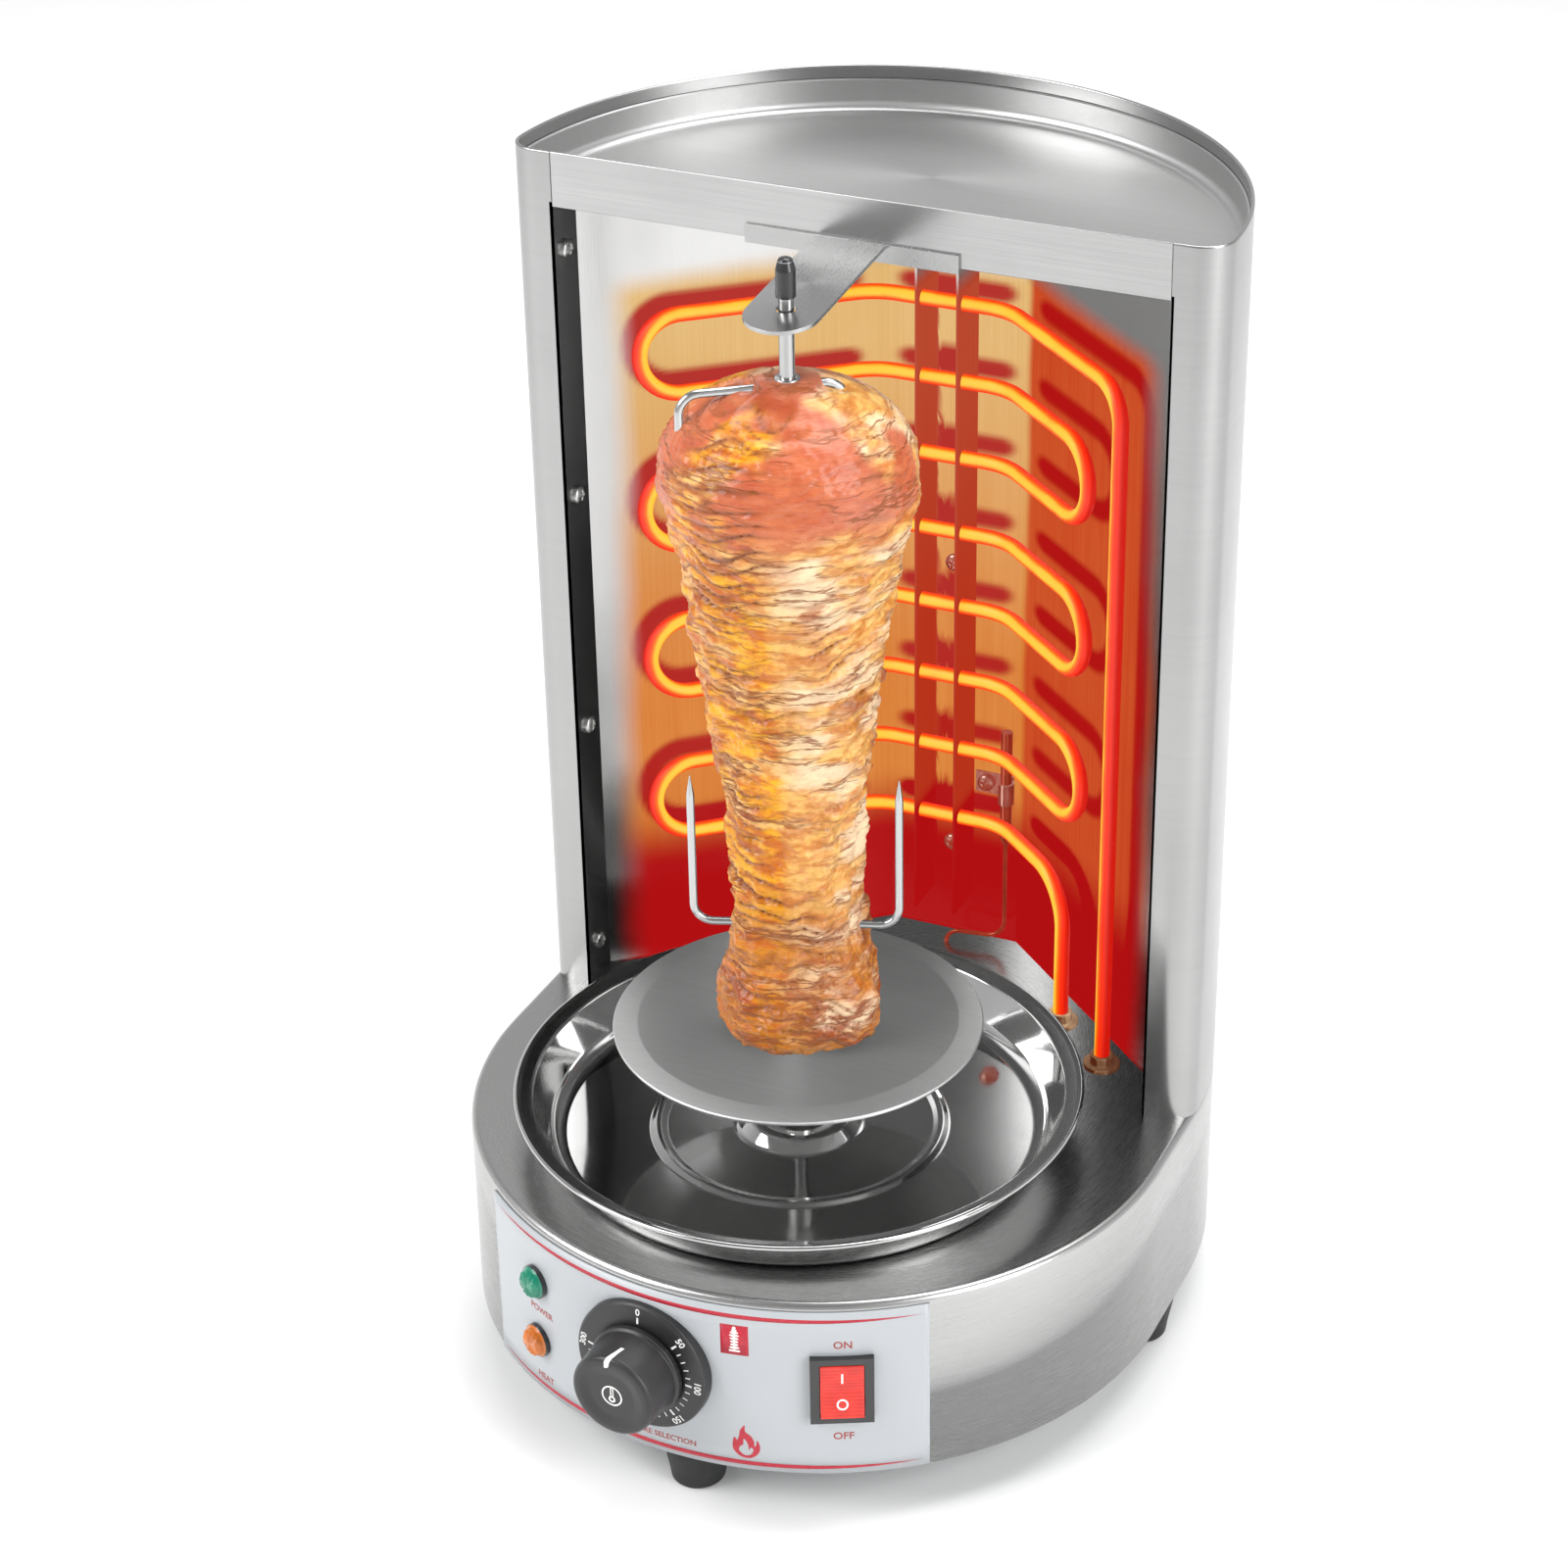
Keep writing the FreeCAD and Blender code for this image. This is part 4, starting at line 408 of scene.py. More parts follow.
foot_profile = rounded(
    [(4.6, 17), (4.6, 0), (10.8, 0), (11.6, 6), (13.7, 17), (14.2, 22.9), (2.4, 22.9), (2.4, 17), (4.6, 17)],
    [0.8, 1.6, 6, 5, 1.5, 0, 0], 6,
) * mm
for side in ("front", "rear", "left", "right"):
    low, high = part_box(f"foot_{side}")
    points = turned(foot_profile, ((low.x + high.x) / 2, (low.y + high.y) / 2), 64)
    show(f"rubber_foot_{side}", surface(f"rubber_foot_{side}", points, around=True), rubber,
         "base", "black_rubber", f"foot_{side}")
coat("foot_screws", bright_zinc)
refined("cord_gland", "lead_gland", rubber, "black_rubber", edge=0.5 * mm)
terminal_cream = moulded("terminal_cream", colour(0.62, 0.58, 0.47), 0.4, 900.0)
coat("terminal_block", terminal_cream)

# ---------------------------------------------------------------------------- control panel
# A thin plate bent to the drum's front, with a pale grey-blue printed skin. The print is
# red: two tapered lines, two pictures and plain words; all of it follows the curve.
panel_low, panel_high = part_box("control_panel")
panel_radius = base_radius + 1.0 * mm
print_lift = 0.05 * mm
print_depth = 0.03 * mm


def skin_print():
    """The panel's skin: pale lacquer with a very fine orange-peel and faint clouding."""
    tree, shader, material = finish("panel_skin", colour(0.42, 0.44, 0.46), 0.0, 0.34, Coat_Weight=0.25,
                                    Coat_Roughness=0.25)
    place = object_place(tree)
    cloud = noise(tree, place, 9.0, 3.0)
    dim, bright = colour(0.41, 0.43, 0.452), colour(0.435, 0.457, 0.478)
    feed(tree, shader, Base_Color=between(tree, ramp(tree, cloud, 0.3, 0.7), dim, bright),
         Roughness=ramp(tree, cloud, 0.3, 0.7, 0.30, 0.40))
    bumped(tree, shader, noise(tree, place, 700.0, 2.0), 0.01 * mm)
    return material


panel_skin = skin_print()


def round_front(angle, radius, height):
    """Points on the drum's front: angle in degrees from -Y towards +X, about the front arc's centre."""
    turn = np.radians(angle)
    return np.stack(np.broadcast_arrays(
        np.sin(turn) * radius, front_arc - np.cos(turn) * radius, height), axis=-1)


panel_angles = (-40.3, 39.5)
angles = np.linspace(*panel_angles, 97)[:, None]
heights = np.linspace(panel_low.z, panel_high.z, 9)[None, :]
panel = show("panel_plate", surface("panel_plate", round_front(angles, panel_radius, heights)),
             panel_skin, "base", "panel_print", "control_panel")
thickened(panel, 0.9 * mm)


def ink(name, tint, roughness=0.45):
    """Screen-printed ink: solid colour broken by the screen's fine grain."""
    tree, shader, material = finish(name, tint, 0.0, roughness)
    place = object_place(tree)
    mesh_mark = ramp(tree, noise(tree, place, 900.0, 3.0), 0.35, 0.7)
    feed(tree, shader, Base_Color=between(tree, mesh_mark, tint, toned(tint, 1.18, 0.01)))
    bumped(tree, shader, noise(tree, place, 3000.0, 1.0), 0.004 * mm)
    return material


red_ink = ink("red_ink", colour(0.42, 0.012, 0.03))
brown_ink = ink("brown_ink", colour(0.30, 0.045, 0.035))
white_ink = ink("white_ink", colour(0.80, 0.80, 0.78))


def flat_mesh(thing):
    """A text or flat curve turned into a mesh in its own plane."""
    bpy.context.scene.collection.objects.link(thing)
    bpy.context.view_layer.update()
    mesh = bpy.data.meshes.new_from_object(thing.evaluated_get(bpy.context.evaluated_depsgraph_get()))
    bpy.data.objects.remove(thing)
    return mesh


def lettering(words, height):
    """Words as a thin mesh, centred, with capitals of the given height."""
    text = bpy.data.curves.new(words, "FONT")
    text.body = words
    text.size = height / 0.69
    text.align_x, text.align_y = "CENTER", "CENTER"
    text.extrude = 0.02 * mm
    text.offset = height * 0.022
    text.resolution_u = 3
    return flat_mesh(bpy.data.objects.new(words, text))


def shape(name, loops):
    """Closed outlines as a thin mesh; a loop inside another is a hole."""
    curve = bpy.data.curves.new(name, "CURVE")
    curve.dimensions = "2D"
    curve.fill_mode = "BOTH"
    curve.extrude = 0.02 * mm
    for loop in loops:
        line = curve.splines.new("POLY")
        line.points.add(len(loop) - 1)
        flat = np.zeros((len(loop), 4))
        flat[:, :2] = loop
        flat[:, 3] = 1
        line.points.foreach_set("co", flat.ravel())
        line.use_cyclic_u = True
    return flat_mesh(bpy.data.objects.new(name, curve))


def moved(mesh, place):
    """Replace a mesh's points by place(points)."""
    points = np.zeros(len(mesh.vertices) * 3)
    mesh.vertices.foreach_get("co", points)
    mesh.vertices.foreach_set("co", place(points.reshape(-1, 3)).ravel())
    mesh.update()
    return mesh


def on_panel(mesh, angle, height):
    """Wrap a flat mesh round the panel: x runs round the arc, y upwards, z outwards."""
    def wrap(points):
        turn = angle + np.degrees(points[:, 0] / panel_radius)
        return round_front(turn, panel_radius + print_lift + points[:, 2], height + points[:, 1])
    return moved(mesh, wrap)


def circle(radius, across=0.0, up=0.0, steps=48, tall=1.0):
    """A closed round outline; its height is tall times its width."""
    angle = np.linspace(0, 2 * np.pi, steps, endpoint=False)
    return np.stack([across + radius * np.cos(angle), up + radius * tall * np.sin(angle)], axis=1)


def bar(width, length):
    """The outline of an upright bar, centred."""
    return np.array([(-width, -length), (width, -length), (width, length), (-width, length)]) / 2


def joined(name, meshes):
    """Several meshes as one."""
    work = bmesh.new()
    for mesh in meshes:
        work.from_mesh(mesh)
    whole = bpy.data.meshes.new(name)
    work.to_mesh(whole)
    work.free()
    return whole


def printed(name, mesh, angle, height, material):
    """Print a flat mesh on the panel, at an angle round it and at a height."""
    show(name, on_panel(mesh, angle, height), material, "base", "panel_print")


for words, angle, height, size in (
    ("ON", 26.3, 86.2, 3.3),
    ("OFF", 26.3, 42.0, 3.3),
    ("POWER", -26.4, 63.7, 2.9),
    ("HEAT", -26.2, 30.6, 2.9),
    ("TEMPERATURE SELECTION", -4.9, 31.4, 2.5),
):
    printed(f"word_{words.split()[0].lower()}", lettering(words, size * mm), angle, height * mm, brown_ink)

line_ends = (-38.6, 38.2)
line_half = 1.0 * mm
for name, height in (("upper", 97.6), ("lower", 26.6)):
    share = np.linspace(-1, 1, 121)
    half = line_half * np.clip(1 - np.abs(share) ** 3.2, 0.03, 1)
    across = np.interp(share, (-1, 1), line_ends)
    edges = np.stack([height * mm - half, height * mm + half], axis=1)
    strip = round_front(across[:, None], panel_radius + print_lift, edges)
    thickened(show(f"red_line_{name}", surface(f"red_line_{name}", strip), red_ink, "base", "panel_print"),
              print_depth)


def skewer_picture():
    """A standing block, and in white a skewer: a dish, seven slices, a rod and its round end."""
    block = np.array([(-5.6, -7.1), (5.6, -7.1), (5.6, 7.1), (-5.6, 7.1)]) * mm
    slices = [(2.0, -3.7), (1.6, -2.25), (1.65, -0.8), (1.8, 0.65), (1.95, 2.1), (1.7, 3.5), (1.1, 4.6)]
    parts = [circle(wide, 0, level, 24, 0.56 / wide) for wide, level in slices]
    parts += [bar(0.6, 10.4), circle(0.7, 0, 5.7), bar(4.4, 0.8) + [0, -5.2]]
    return block, [part * mm for part in parts]


def flame_picture():
    """A flame: an outer tongue that leans and curls, and an open inner tongue."""
    outer = np.array([
        (0.2, -5.6), (2.6, -5.0), (4.6, -3.2), (5.0, -1.0), (4.0, 1.2), (3.6, -0.6),
        (2.9, -1.0), (2.8, 0.8), (1.6, 2.6), (-0.4, 4.0), (-0.5, 6.2), (-2.2, 4.4),
        (-2.6, 2.4), (-3.4, 0.6), (-4.4, 1.6), (-5.1, -0.6), (-4.8, -3.0), (-2.6, -5.0),
    ])
    inner = np.array([
        (0.1, -4.7), (1.8, -4.0), (2.6, -2.4), (1.6, -1.6), (0.9, -2.6), (0.6, -0.6),
        (-0.9, 1.4), (-1.2, -0.8), (-2.2, -1.4), (-2.8, -2.9), (-1.6, -4.2),
    ])
    stretch = np.array([1.09, 1.36]) * mm
    return eased(outer) * stretch, eased(inner) * stretch


def eased(loop, per_side=6):
    """A closed Catmull-Rom line through the loop's points."""
    a, b, c, d = (np.roll(loop, shift, 0)[:, None] for shift in (1, 0, -1, -2))
    t = np.linspace(0, 1, per_side, endpoint=False)[None, :, None]
    line = b + 0.5 * t * (c - a + t * (2 * a - 5 * b + 4 * c - d + t * (3 * (b - c) + d - a)))
    return line.reshape(-1, 2)


skewer_angle, skewer_height = 10.0, 86.3 * mm
block, skewer = skewer_picture()
turn = np.degrees(block[:, 0] / panel_radius) + skewer_angle
strip = round_front(np.linspace(turn.min(), turn.max(), 9)[:, None], panel_radius + print_lift,
                    skewer_height + np.array([block[:, 1].min(), block[:, 1].max()])[None])
thickened(show("picture_block", surface("picture_block", strip), red_ink, "base", "panel_print"),
          print_depth)
white_parts = joined("picture_skewer", [shape("part", [part]) for part in skewer])
moved(white_parts, lambda points: points + [0, 0, 0.04 * mm])
printed("picture_skewer", white_parts, skewer_angle, skewer_height, white_ink)
flame, flame_core = flame_picture()
printed("picture_flame", shape("picture_flame", [flame, flame_core]), 11.45, 36.6 * mm, red_ink)

# ---------------------------------------------------------------------------- thermostat dial and knob
# A black moulded dial plate lies on the panel, printed in white from 0 to 300. The knob is
# moulded too, with a skirt, a soft taper and a shallow dish in its face.
dial_angle = -4.9
dial_z = top_z - 39.2 * mm
satin_black = moulded("satin_black", colour(0.016, 0.016, 0.017), 0.36, 2200.0, 0.015)
fine_print = ink("dial_white", colour(0.78, 0.78, 0.76))


def facing(angle, height, radius=panel_radius):
    """Own axes of a control on the front: x to the right, y up, z out of the panel."""
    turn = math.radians(angle)
    right = np.array([math.cos(turn), math.sin(turn), 0])
    out = np.array([math.sin(turn), -math.cos(turn), 0])
    start = np.array([out[0] * radius, front_arc + out[1] * radius, height])
    return right, out, start


def stood(points, angle, height, radius=panel_radius):
    """Take points from a control's own axes to the object's frame."""
    right, out, start = facing(angle, height, radius)
    up = np.array([0, 0, 1])
    return start + points[..., :1] * right + points[..., 1:2] * up + points[..., 2:] * out


face = rounded(
    [(3.8, 3.0), (3.8, 4.0), (22, 4.0), (28.2, 3.3), (29, 2.2), (29, 0)], [0.3, 6, 1.2, 0.6], 6
) * mm
dial = turned(face, steps=128)
sag = panel_radius - np.sqrt(panel_radius**2 - dial[:, -1, 0] ** 2)
dial[:, -1, 2] = -sag + 0.15 * mm
show("dial_face", surface("dial_face", stood(dial, dial_angle, dial_z), around=True), satin_black,
     "base", "black_plastic", "dial_plate")


def on_dial(mesh, clock, reach):
    """Stand a flat mesh on the dial at a clock angle, its top towards the rim."""
    turn = math.radians(clock)
    spin = np.array([[math.cos(turn), -math.sin(turn)], [math.sin(turn), math.cos(turn)]])

    def put(points):
        flat = (points[:, :2] + [0, reach]) @ spin
        rise = np.interp(np.linalg.norm(flat, axis=1), (22 * mm, 28.2 * mm), (4.0 * mm, 3.3 * mm))
        local = np.column_stack([flat, rise + print_lift + points[:, 2]])
        return stood(local, dial_angle, dial_z)
    return moved(mesh, put)


dial_turn, dial_top = 280, 300
marks = []
for value in [0] + list(range(50, 301, 10)):
    clock = value * (dial_turn / dial_top)
    major = value % 50 == 0
    size = bar(0.85 * mm, 2.8 * mm) if major else bar(0.45 * mm, 2.1 * mm)
    marks.append(on_dial(shape("mark", [size]), clock, (22.3 if major else 22.2) * mm))
    if major:
        marks.append(on_dial(lettering(str(value), 2.8 * mm), clock, 26.0 * mm))
show("dial_numbers", joined("dial_numbers", marks), fine_print, "base", "black_plastic")

knob_profile = rounded(
    [(0, 4.7), (20.0, 4.7), (20.0, 7.2), (19.0, 8.2), (17.9, 25.1), (14.0, 25.1), (10.0, 24.2), (0, 24.2)],
    [0.4, 0.7, 0.7, 2.4, 3, 5], 8,
) * mm
knob = stood(turned(knob_profile, steps=128), dial_angle, dial_z)
show("knob_grip", surface("knob_grip", knob, around=True), satin_black, "knob", "black_plastic",
     "thermostat_knob", crease=60)


def on_knob(mesh):
    """Lay a flat mesh on the knob's dished face."""
    def put(points):
        reach = np.linalg.norm(points[:, :2], axis=1)
        rise = np.interp(reach, (10.2 * mm, 14.8 * mm, 16.4 * mm, 18 * mm),
                         (24.2 * mm, 25.1 * mm, 25.0 * mm, 24.1 * mm))
        return stood(np.column_stack([points[:, :2], rise + print_lift + points[:, 2]]), dial_angle, dial_z)
    return moved(mesh, put)


def spaced(line, step):
    """The same line with points added so that none are further apart than step."""
    gaps = np.linalg.norm(np.diff(line, axis=0), axis=1)
    line = line[np.concatenate([[True], gaps > 1e-7])]
    gaps = np.linalg.norm(np.diff(line, axis=0), axis=1)
    counts = np.maximum(1, np.ceil(gaps / step).astype(int))
    start = np.repeat(np.arange(len(gaps)), counts)
    share = (np.arange(counts.sum()) - np.repeat(np.cumsum(counts) - counts, counts)) / counts[start]
    inner = line[start] + (line[start + 1] - line[start]) * share[:, None]
    return np.vstack([inner, line[-1]])


def pointer_stripe():
    """A white stripe along the knob's profile, off its face and down its side, that bends as it goes.

    Point (i, j) is profile point i turned by -0.13 + 0.2 s^1.5 radians, give or take half its width.
    """
    line = spaced(knob_profile, 0.8 * mm)
    line = line[(line[:, 0] > 13.6 * mm) & (line[:, 1] > 16.5 * mm)][::-1] + 0.1 * mm
    share = np.linspace(0, 1, len(line))
    half = 0.07 * (0.6 + 0.4 * np.sin(np.pi * np.clip(share * 1.15, 0, 1)))
    swing = (-0.13 + 0.2 * share**1.5)[:, None] + np.array([-1, 1]) * half[:, None]
    points = np.stack(np.broadcast_arrays(
        line[:, :1] * np.sin(swing), line[:, :1] * np.cos(swing), line[:, 1:]), axis=-1)
    return surface("pointer", stood(points, dial_angle, dial_z))


stem = [(-0.75, -1.9), (0.75, -1.9), (0.75, 2.9), (-0.75, 2.9)]
thermometer = [
    shape("ring", [circle(4.6 * mm), circle(3.95 * mm)]),
    shape("bulb", [circle(1.5 * mm, 0, -1.6 * mm), circle(0.75 * mm, 0, -1.6 * mm)]),
    shape("stem", [np.array(stem) * mm + [0, 1.3 * mm], np.array(stem) * mm * [0.4, 0.8] + [0, 1.3 * mm]]),
]
knob_marks = [pointer_stripe()] + [on_knob(mesh) for mesh in thermometer]
show("knob_marks", joined("knob_marks", knob_marks), white_ink, "knob", "black_plastic")
coat("thermostat_shaft", bright_zinc)
coat("thermostat_body", galvanised)

# ---------------------------------------------------------------------------- rocker switch
# A snap-in rocker switch: a glossy black frame and body, and a translucent red paddle lit
# from inside, marked I above and O below. The paddle turns on two trunnions.
switch_angle = 26.1
switch_z = top_z - 38.9 * mm
gloss_black = moulded("gloss_black", colour(0.012, 0.012, 0.013), 0.16, 1200.0, 0.003, Coat_Weight=0.5)


def lit_plastic(name, tint, glow, strength, pitch=0.0):
    """Coloured clear plastic with moulded ribs behind it and a lamp's uneven glow."""
    tree, shader, material = finish(name, tint, 0.0, 0.25, Coat_Weight=0.3, Emission_Strength=strength)
    place = object_place(tree)
    patch = noise(tree, place, 160.0, 2.0)
    if pitch:
        height = node(tree, "ShaderNodeSeparateXYZ", a=place).outputs[2]
        rib = sums(tree, "SINE", sums(tree, "MULTIPLY", height, 2 * math.pi / pitch))
        patch = sums(tree, "ADD", sums(tree, "MULTIPLY", patch, 0.75), sums(tree, "MULTIPLY", rib, 0.1))
    shine = ramp(tree, patch, 0.25, 0.6)
    feed(tree, shader, Emission_Color=between(tree, shine, toned(glow, 0.35), glow),
         Base_Color=between(tree, patch, tint, glow))
    return material


refined("rocker_housing", "switch_frame", gloss_black, "black_gloss", edge=0.35 * mm)
rocker_red = lit_plastic("rocker_red", colour(0.36, 0.004, 0.003), colour(0.85, 0.03, 0.01), 0.36, 1.5 * mm)
refined("rocker", "switch_paddle", rocker_red, "red_lens", "switch_rocker", edge=0.5 * mm)


def on_paddle(mesh, out, up, lean):
    """Lay a flat mesh on one half of the paddle, leaning by an angle about the level axis."""
    lean = math.radians(lean)

    def put(points):
        rise = points[:, 2] + print_lift
        local = np.column_stack([
            points[:, 0], up + points[:, 1] * math.cos(lean) + rise * math.sin(lean),
            out - points[:, 1] * math.sin(lean) + rise * math.cos(lean),
        ])
        return stood(local, switch_angle, switch_z, panel_radius - 3 * mm)
    return moved(mesh, put)


switch_marks = [
    on_paddle(shape("line", [bar(0.75 * mm, 4.6 * mm)]), 5.95 * mm, 6.6 * mm, 0),
    on_paddle(shape("loop", [circle(2.3 * mm), circle(1.6 * mm)]), 7.44 * mm, -4.82 * mm, 15),
]
show("switch_marks", joined("switch_marks", switch_marks), white_ink, "switch_rocker", "red_lens")

# ---------------------------------------------------------------------------- indicator lamps
# Two snap-in lamps, green above amber. Each lens is moulded with a stepped rim and upright
# facets that break up the light; a dark body holds it in the panel.
lamp_angle = -27.3
green_glass = lit_plastic("green_glass", colour(0.0, 0.08, 0.045), colour(0.0, 0.24, 0.14), 0.22)
amber_glass = lit_plastic("amber_glass", colour(0.26, 0.06, 0.005), colour(0.66, 0.17, 0.01), 0.22)
lens_profile = rounded(
    [(7.0, 0.3), (7.0, 2.0), (6.2, 2.6), (5.6, 4.2), (4.4, 4.9), (0, 4.9)], [0.5, 0.3, 0.4, 0.3], 3
) * mm
for name, height, slot, glass in (("power", 77.4, "green_lens", green_glass),
                                  ("heat", 48.6, "amber_lens", amber_glass)):
    lens = turned(lens_profile, steps=72)
    facet = np.cos(lens[..., 0] * 2 * np.pi / (2.1 * mm))
    crown = np.clip((lens[..., 2] - 2.4 * mm) / (2 * mm), 0, 1)
    lens[..., 2] += 0.4 * mm * facet * crown
    lens = surface(f"lamp_lens_{name}", stood(lens, lamp_angle, height * mm), around=True)
    show(f"lamp_lens_{name}", lens, glass, "base", slot, f"{name}_lamp_lens", crease=25)
refined("lamp_bodies", "lamp_cases", gloss_black, "black_gloss", edge=0.2 * mm)

# ---------------------------------------------------------------------------- outer shell
# One sheet bent round the back, with its front edges rolled forward into two posts and then
# turned in. The rim is hemmed: folded over and pressed flat for a safe edge.
shell_low, shell_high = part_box("outer_shell")
rim_z = shell_high.z
post_front = shell_low.y
post_inner = base_radius - 20 * mm
roll = 13 * mm
wall = 1.0 * mm
flange_top = rim_z - 20.5 * mm


def shell_line(arc_steps=160, roll_steps=18):
    """The shell's plan from the left post round the back to the right one, with outward ways."""
    roll_y = post_front + roll
    roll_x = math.sqrt((base_radius - roll) ** 2 - (roll_y - rear_arc) ** 2)
    meet = math.atan2(roll_y - rear_arc, roll_x)
    left = np.linspace(-np.pi / 2, -np.pi - meet, roll_steps)
    back = np.linspace(np.pi - meet, meet, arc_steps)[1:-1]
    right = np.linspace(meet, -np.pi / 2, roll_steps)
    angle = np.concatenate([[-np.pi / 2], left, back, right, [-np.pi / 2]])
    outward = np.stack([np.cos(angle), np.sin(angle)], axis=1)
    centre = np.concatenate([
        [(-post_inner, roll_y)], np.tile([(-roll_x, roll_y)], (roll_steps, 1)),
        np.tile([(0, rear_arc)], (len(back), 1)), np.tile([(roll_x, roll_y)], (roll_steps, 1)),
        [(post_inner, roll_y)],
    ])
    reach = np.concatenate([[roll], np.full(roll_steps, roll), np.full(len(back), base_radius),
                            np.full(roll_steps, roll), [roll]])
    return centre + outward * reach[:, None], outward


shell_steel = brushed_steel("shell_steel", colour(0.36, 0.36, 0.358), 0.25, around_grain)
shell_path, shell_out = shell_line()
hem = rounded(
    [(0, top_z), (0, rim_z), (-1.5 * mm, rim_z), (-1.5 * mm, rim_z - 5.4 * mm), (-wall, rim_z - 5.8 * mm),
     (-wall, top_z)],
    [0.7 * mm, 0.7 * mm, 0.15 * mm, 0], 6,
)
hem = np.insert(hem, 1, [(0, z) for z in np.linspace(top_z, rim_z - 1 * mm, 7)[1:]], axis=0)
wrap = surface("shell_wrap", carried(shell_path, shell_out, hem), ring=True, caps=True, flip=True)
show("shell_wrap", wrap, shell_steel, "base", "brushed_stainless", "outer_shell")
for name, side in (("left", -1), ("right", 1)):
    edge = rounded([(0, 0), (0, 1.0), (20, 1.0), (20, 0), (0, 0)], [0, 0.4, 0.4], 4) * mm
    edge = np.stack([side * (post_inner + edge[:, 1]), post_front + edge[:, 0]], axis=1)
    levels = np.array([top_z, flange_top])
    column = np.stack([np.column_stack([edge, np.full(len(edge), z)]) for z in levels])
    flange = surface(f"post_flange_{name}", column, caps=True)
    merged(flange, outward=True)
    show(f"post_flange_{name}", flange, shell_steel, "base", "brushed_stainless")

# ---------------------------------------------------------------------------- top tray and fascia
# The D-shaped top is a pressed dish, dropped in below the shell's hem, with a soft radius
# between wall and floor. A straight fascia closes the front between the posts.
tray_floor = rim_z - 19.5 * mm
tray_steel = brushed_steel("tray_steel", colour(0.47, 0.47, 0.468), 0.36, (16, 1400, 1400), unwrapped=False)
tray_line = rounded([(-1.6, -5.6), (-1.6, -19.5), (-9, -19.5)], [5.0], 10) * mm + [0, rim_z]
tray_line = np.insert(tray_line, 0, [(-1.9 * mm, rim_z - 5.5 * mm)], axis=0)
front_x = np.linspace(post_inner, -post_inner, 25)[1:-1]
tray_path = np.vstack([shell_path, np.column_stack([front_x, np.full(len(front_x), post_front)])])
tray_out = np.vstack([shell_out, np.tile([(0, -1)], (len(front_x), 1))])
tray_points = carried(tray_path, tray_out, tray_line)
tray_mesh = surface("tray_dish", tray_points, around=True)


def floored(mesh, level):
    """Close the open ring at one height with a single flat face that looks up."""
    with edited(mesh) as work:
        rim = [edge for edge in work.edges
               if edge.is_boundary and all(abs(vert.co.z - level) < 1e-6 for vert in edge.verts)]
        for flat in bmesh.ops.contextual_create(work, geom=rim)["faces"]:
            flat.normal_update()
            if flat.normal.z < 0:
                flat.normal_flip()


floored(tray_mesh, tray_floor)
tray = show("tray_dish", tray_mesh, tray_steel, "base", "brushed_stainless", "top_tray")
thickened(tray, 0.8 * mm)
fascia_steel = brushed_steel("fascia_steel", colour(0.42, 0.42, 0.418), 0.25, (16, 2400, 2400),
                             unwrapped=False, streak=0.07)
refined("fascia", "front_fascia", fascia_steel, "brushed_stainless", edge=0.25 * mm)

# ---------------------------------------------------------------------------- heating element
# One tubular rod, bent into eight rows that follow the folded reflector. It glows, with a
# painted yellow core along the side that faces the meat, orange and then red towards the reflector.
element_radius = 3.25 * mm
back_y = 128.2 * mm
fold_x = 30 * mm
wing_end = np.array([post_inner + 1.2 * mm, post_front + 20.2 * mm])
wing_way = wing_end - [fold_x, back_y]
wing_length = np.linalg.norm(wing_way)
wing_way = wing_way / wing_length
back_gap, wing_gap = 16.5 * mm, 13 * mm
row_y = back_y - back_gap
row_levels = top_z + np.linspace(306.5, 68.5, 8) * mm
bend_x = fold_x + (back_gap * wing_way[0] - wing_gap) / -wing_way[1]


def on_wing(short, side=1):
    """Plan position of the rod on a wing, at a distance short of the wing's outer end."""
    reach = 0.0 if short is None else wing_length - short
    spot = np.array([bend_x, row_y]) + wing_way * reach
    return np.array([spot[0] * side, spot[1]])


def element_line():
    """The rod's centre line: up the feed leg, eight rows to and fro, and down the return leg."""
    left, right = on_wing(31.3 * mm, -1), on_wing(62.3 * mm)
    feed, back = on_wing(37.8 * mm), on_wing(74.8 * mm)
    knees = (on_wing(None), on_wing(None, -1))
    tail = top_z - 24 * mm
    spots, bends = [(*feed, tail), (*feed, row_levels[0])], [15 * mm]
    turn = (row_levels[0] - row_levels[1]) / 2
    for row, level in enumerate(row_levels):
        spots += [(*knee, level) for knee in (knees if row % 2 == 0 else knees[::-1])]
        bends += [26 * mm] * 2
        if row < len(row_levels) - 1:
            end = left if row % 2 == 0 else right
            spots += [(*end, level), (*end, row_levels[row + 1])]
            bends += [turn * 0.9999] * 2
    spots += [(*back, row_levels[-1]), (*back, tail)]
    bends.append(22 * mm)
    return rounded(spots, bends, 14)


def tube(path, radius, towards, around=20):
    """A round rod along a path.

    Ring point (i, j) is path[i] + radius[i] * (cos t * side + sin t * over), where side is the
    part of towards[i] that is square to the path, and over is square to both.
    """
    path = np.asarray(path)
    ahead = np.gradient(path, axis=0)
    ahead /= np.linalg.norm(ahead, axis=1, keepdims=True)
    side = towards - (towards * ahead).sum(1, keepdims=True) * ahead
    side /= np.linalg.norm(side, axis=1, keepdims=True)
    over = np.cross(ahead, side)
    turn = np.linspace(0, 2 * np.pi, around, endpoint=False)[None, :, None]
    radius = np.broadcast_to(radius, len(path))[:, None, None]
    return path[:, None] + radius * (np.cos(turn) * side[:, None] + np.sin(turn) * over[:, None])


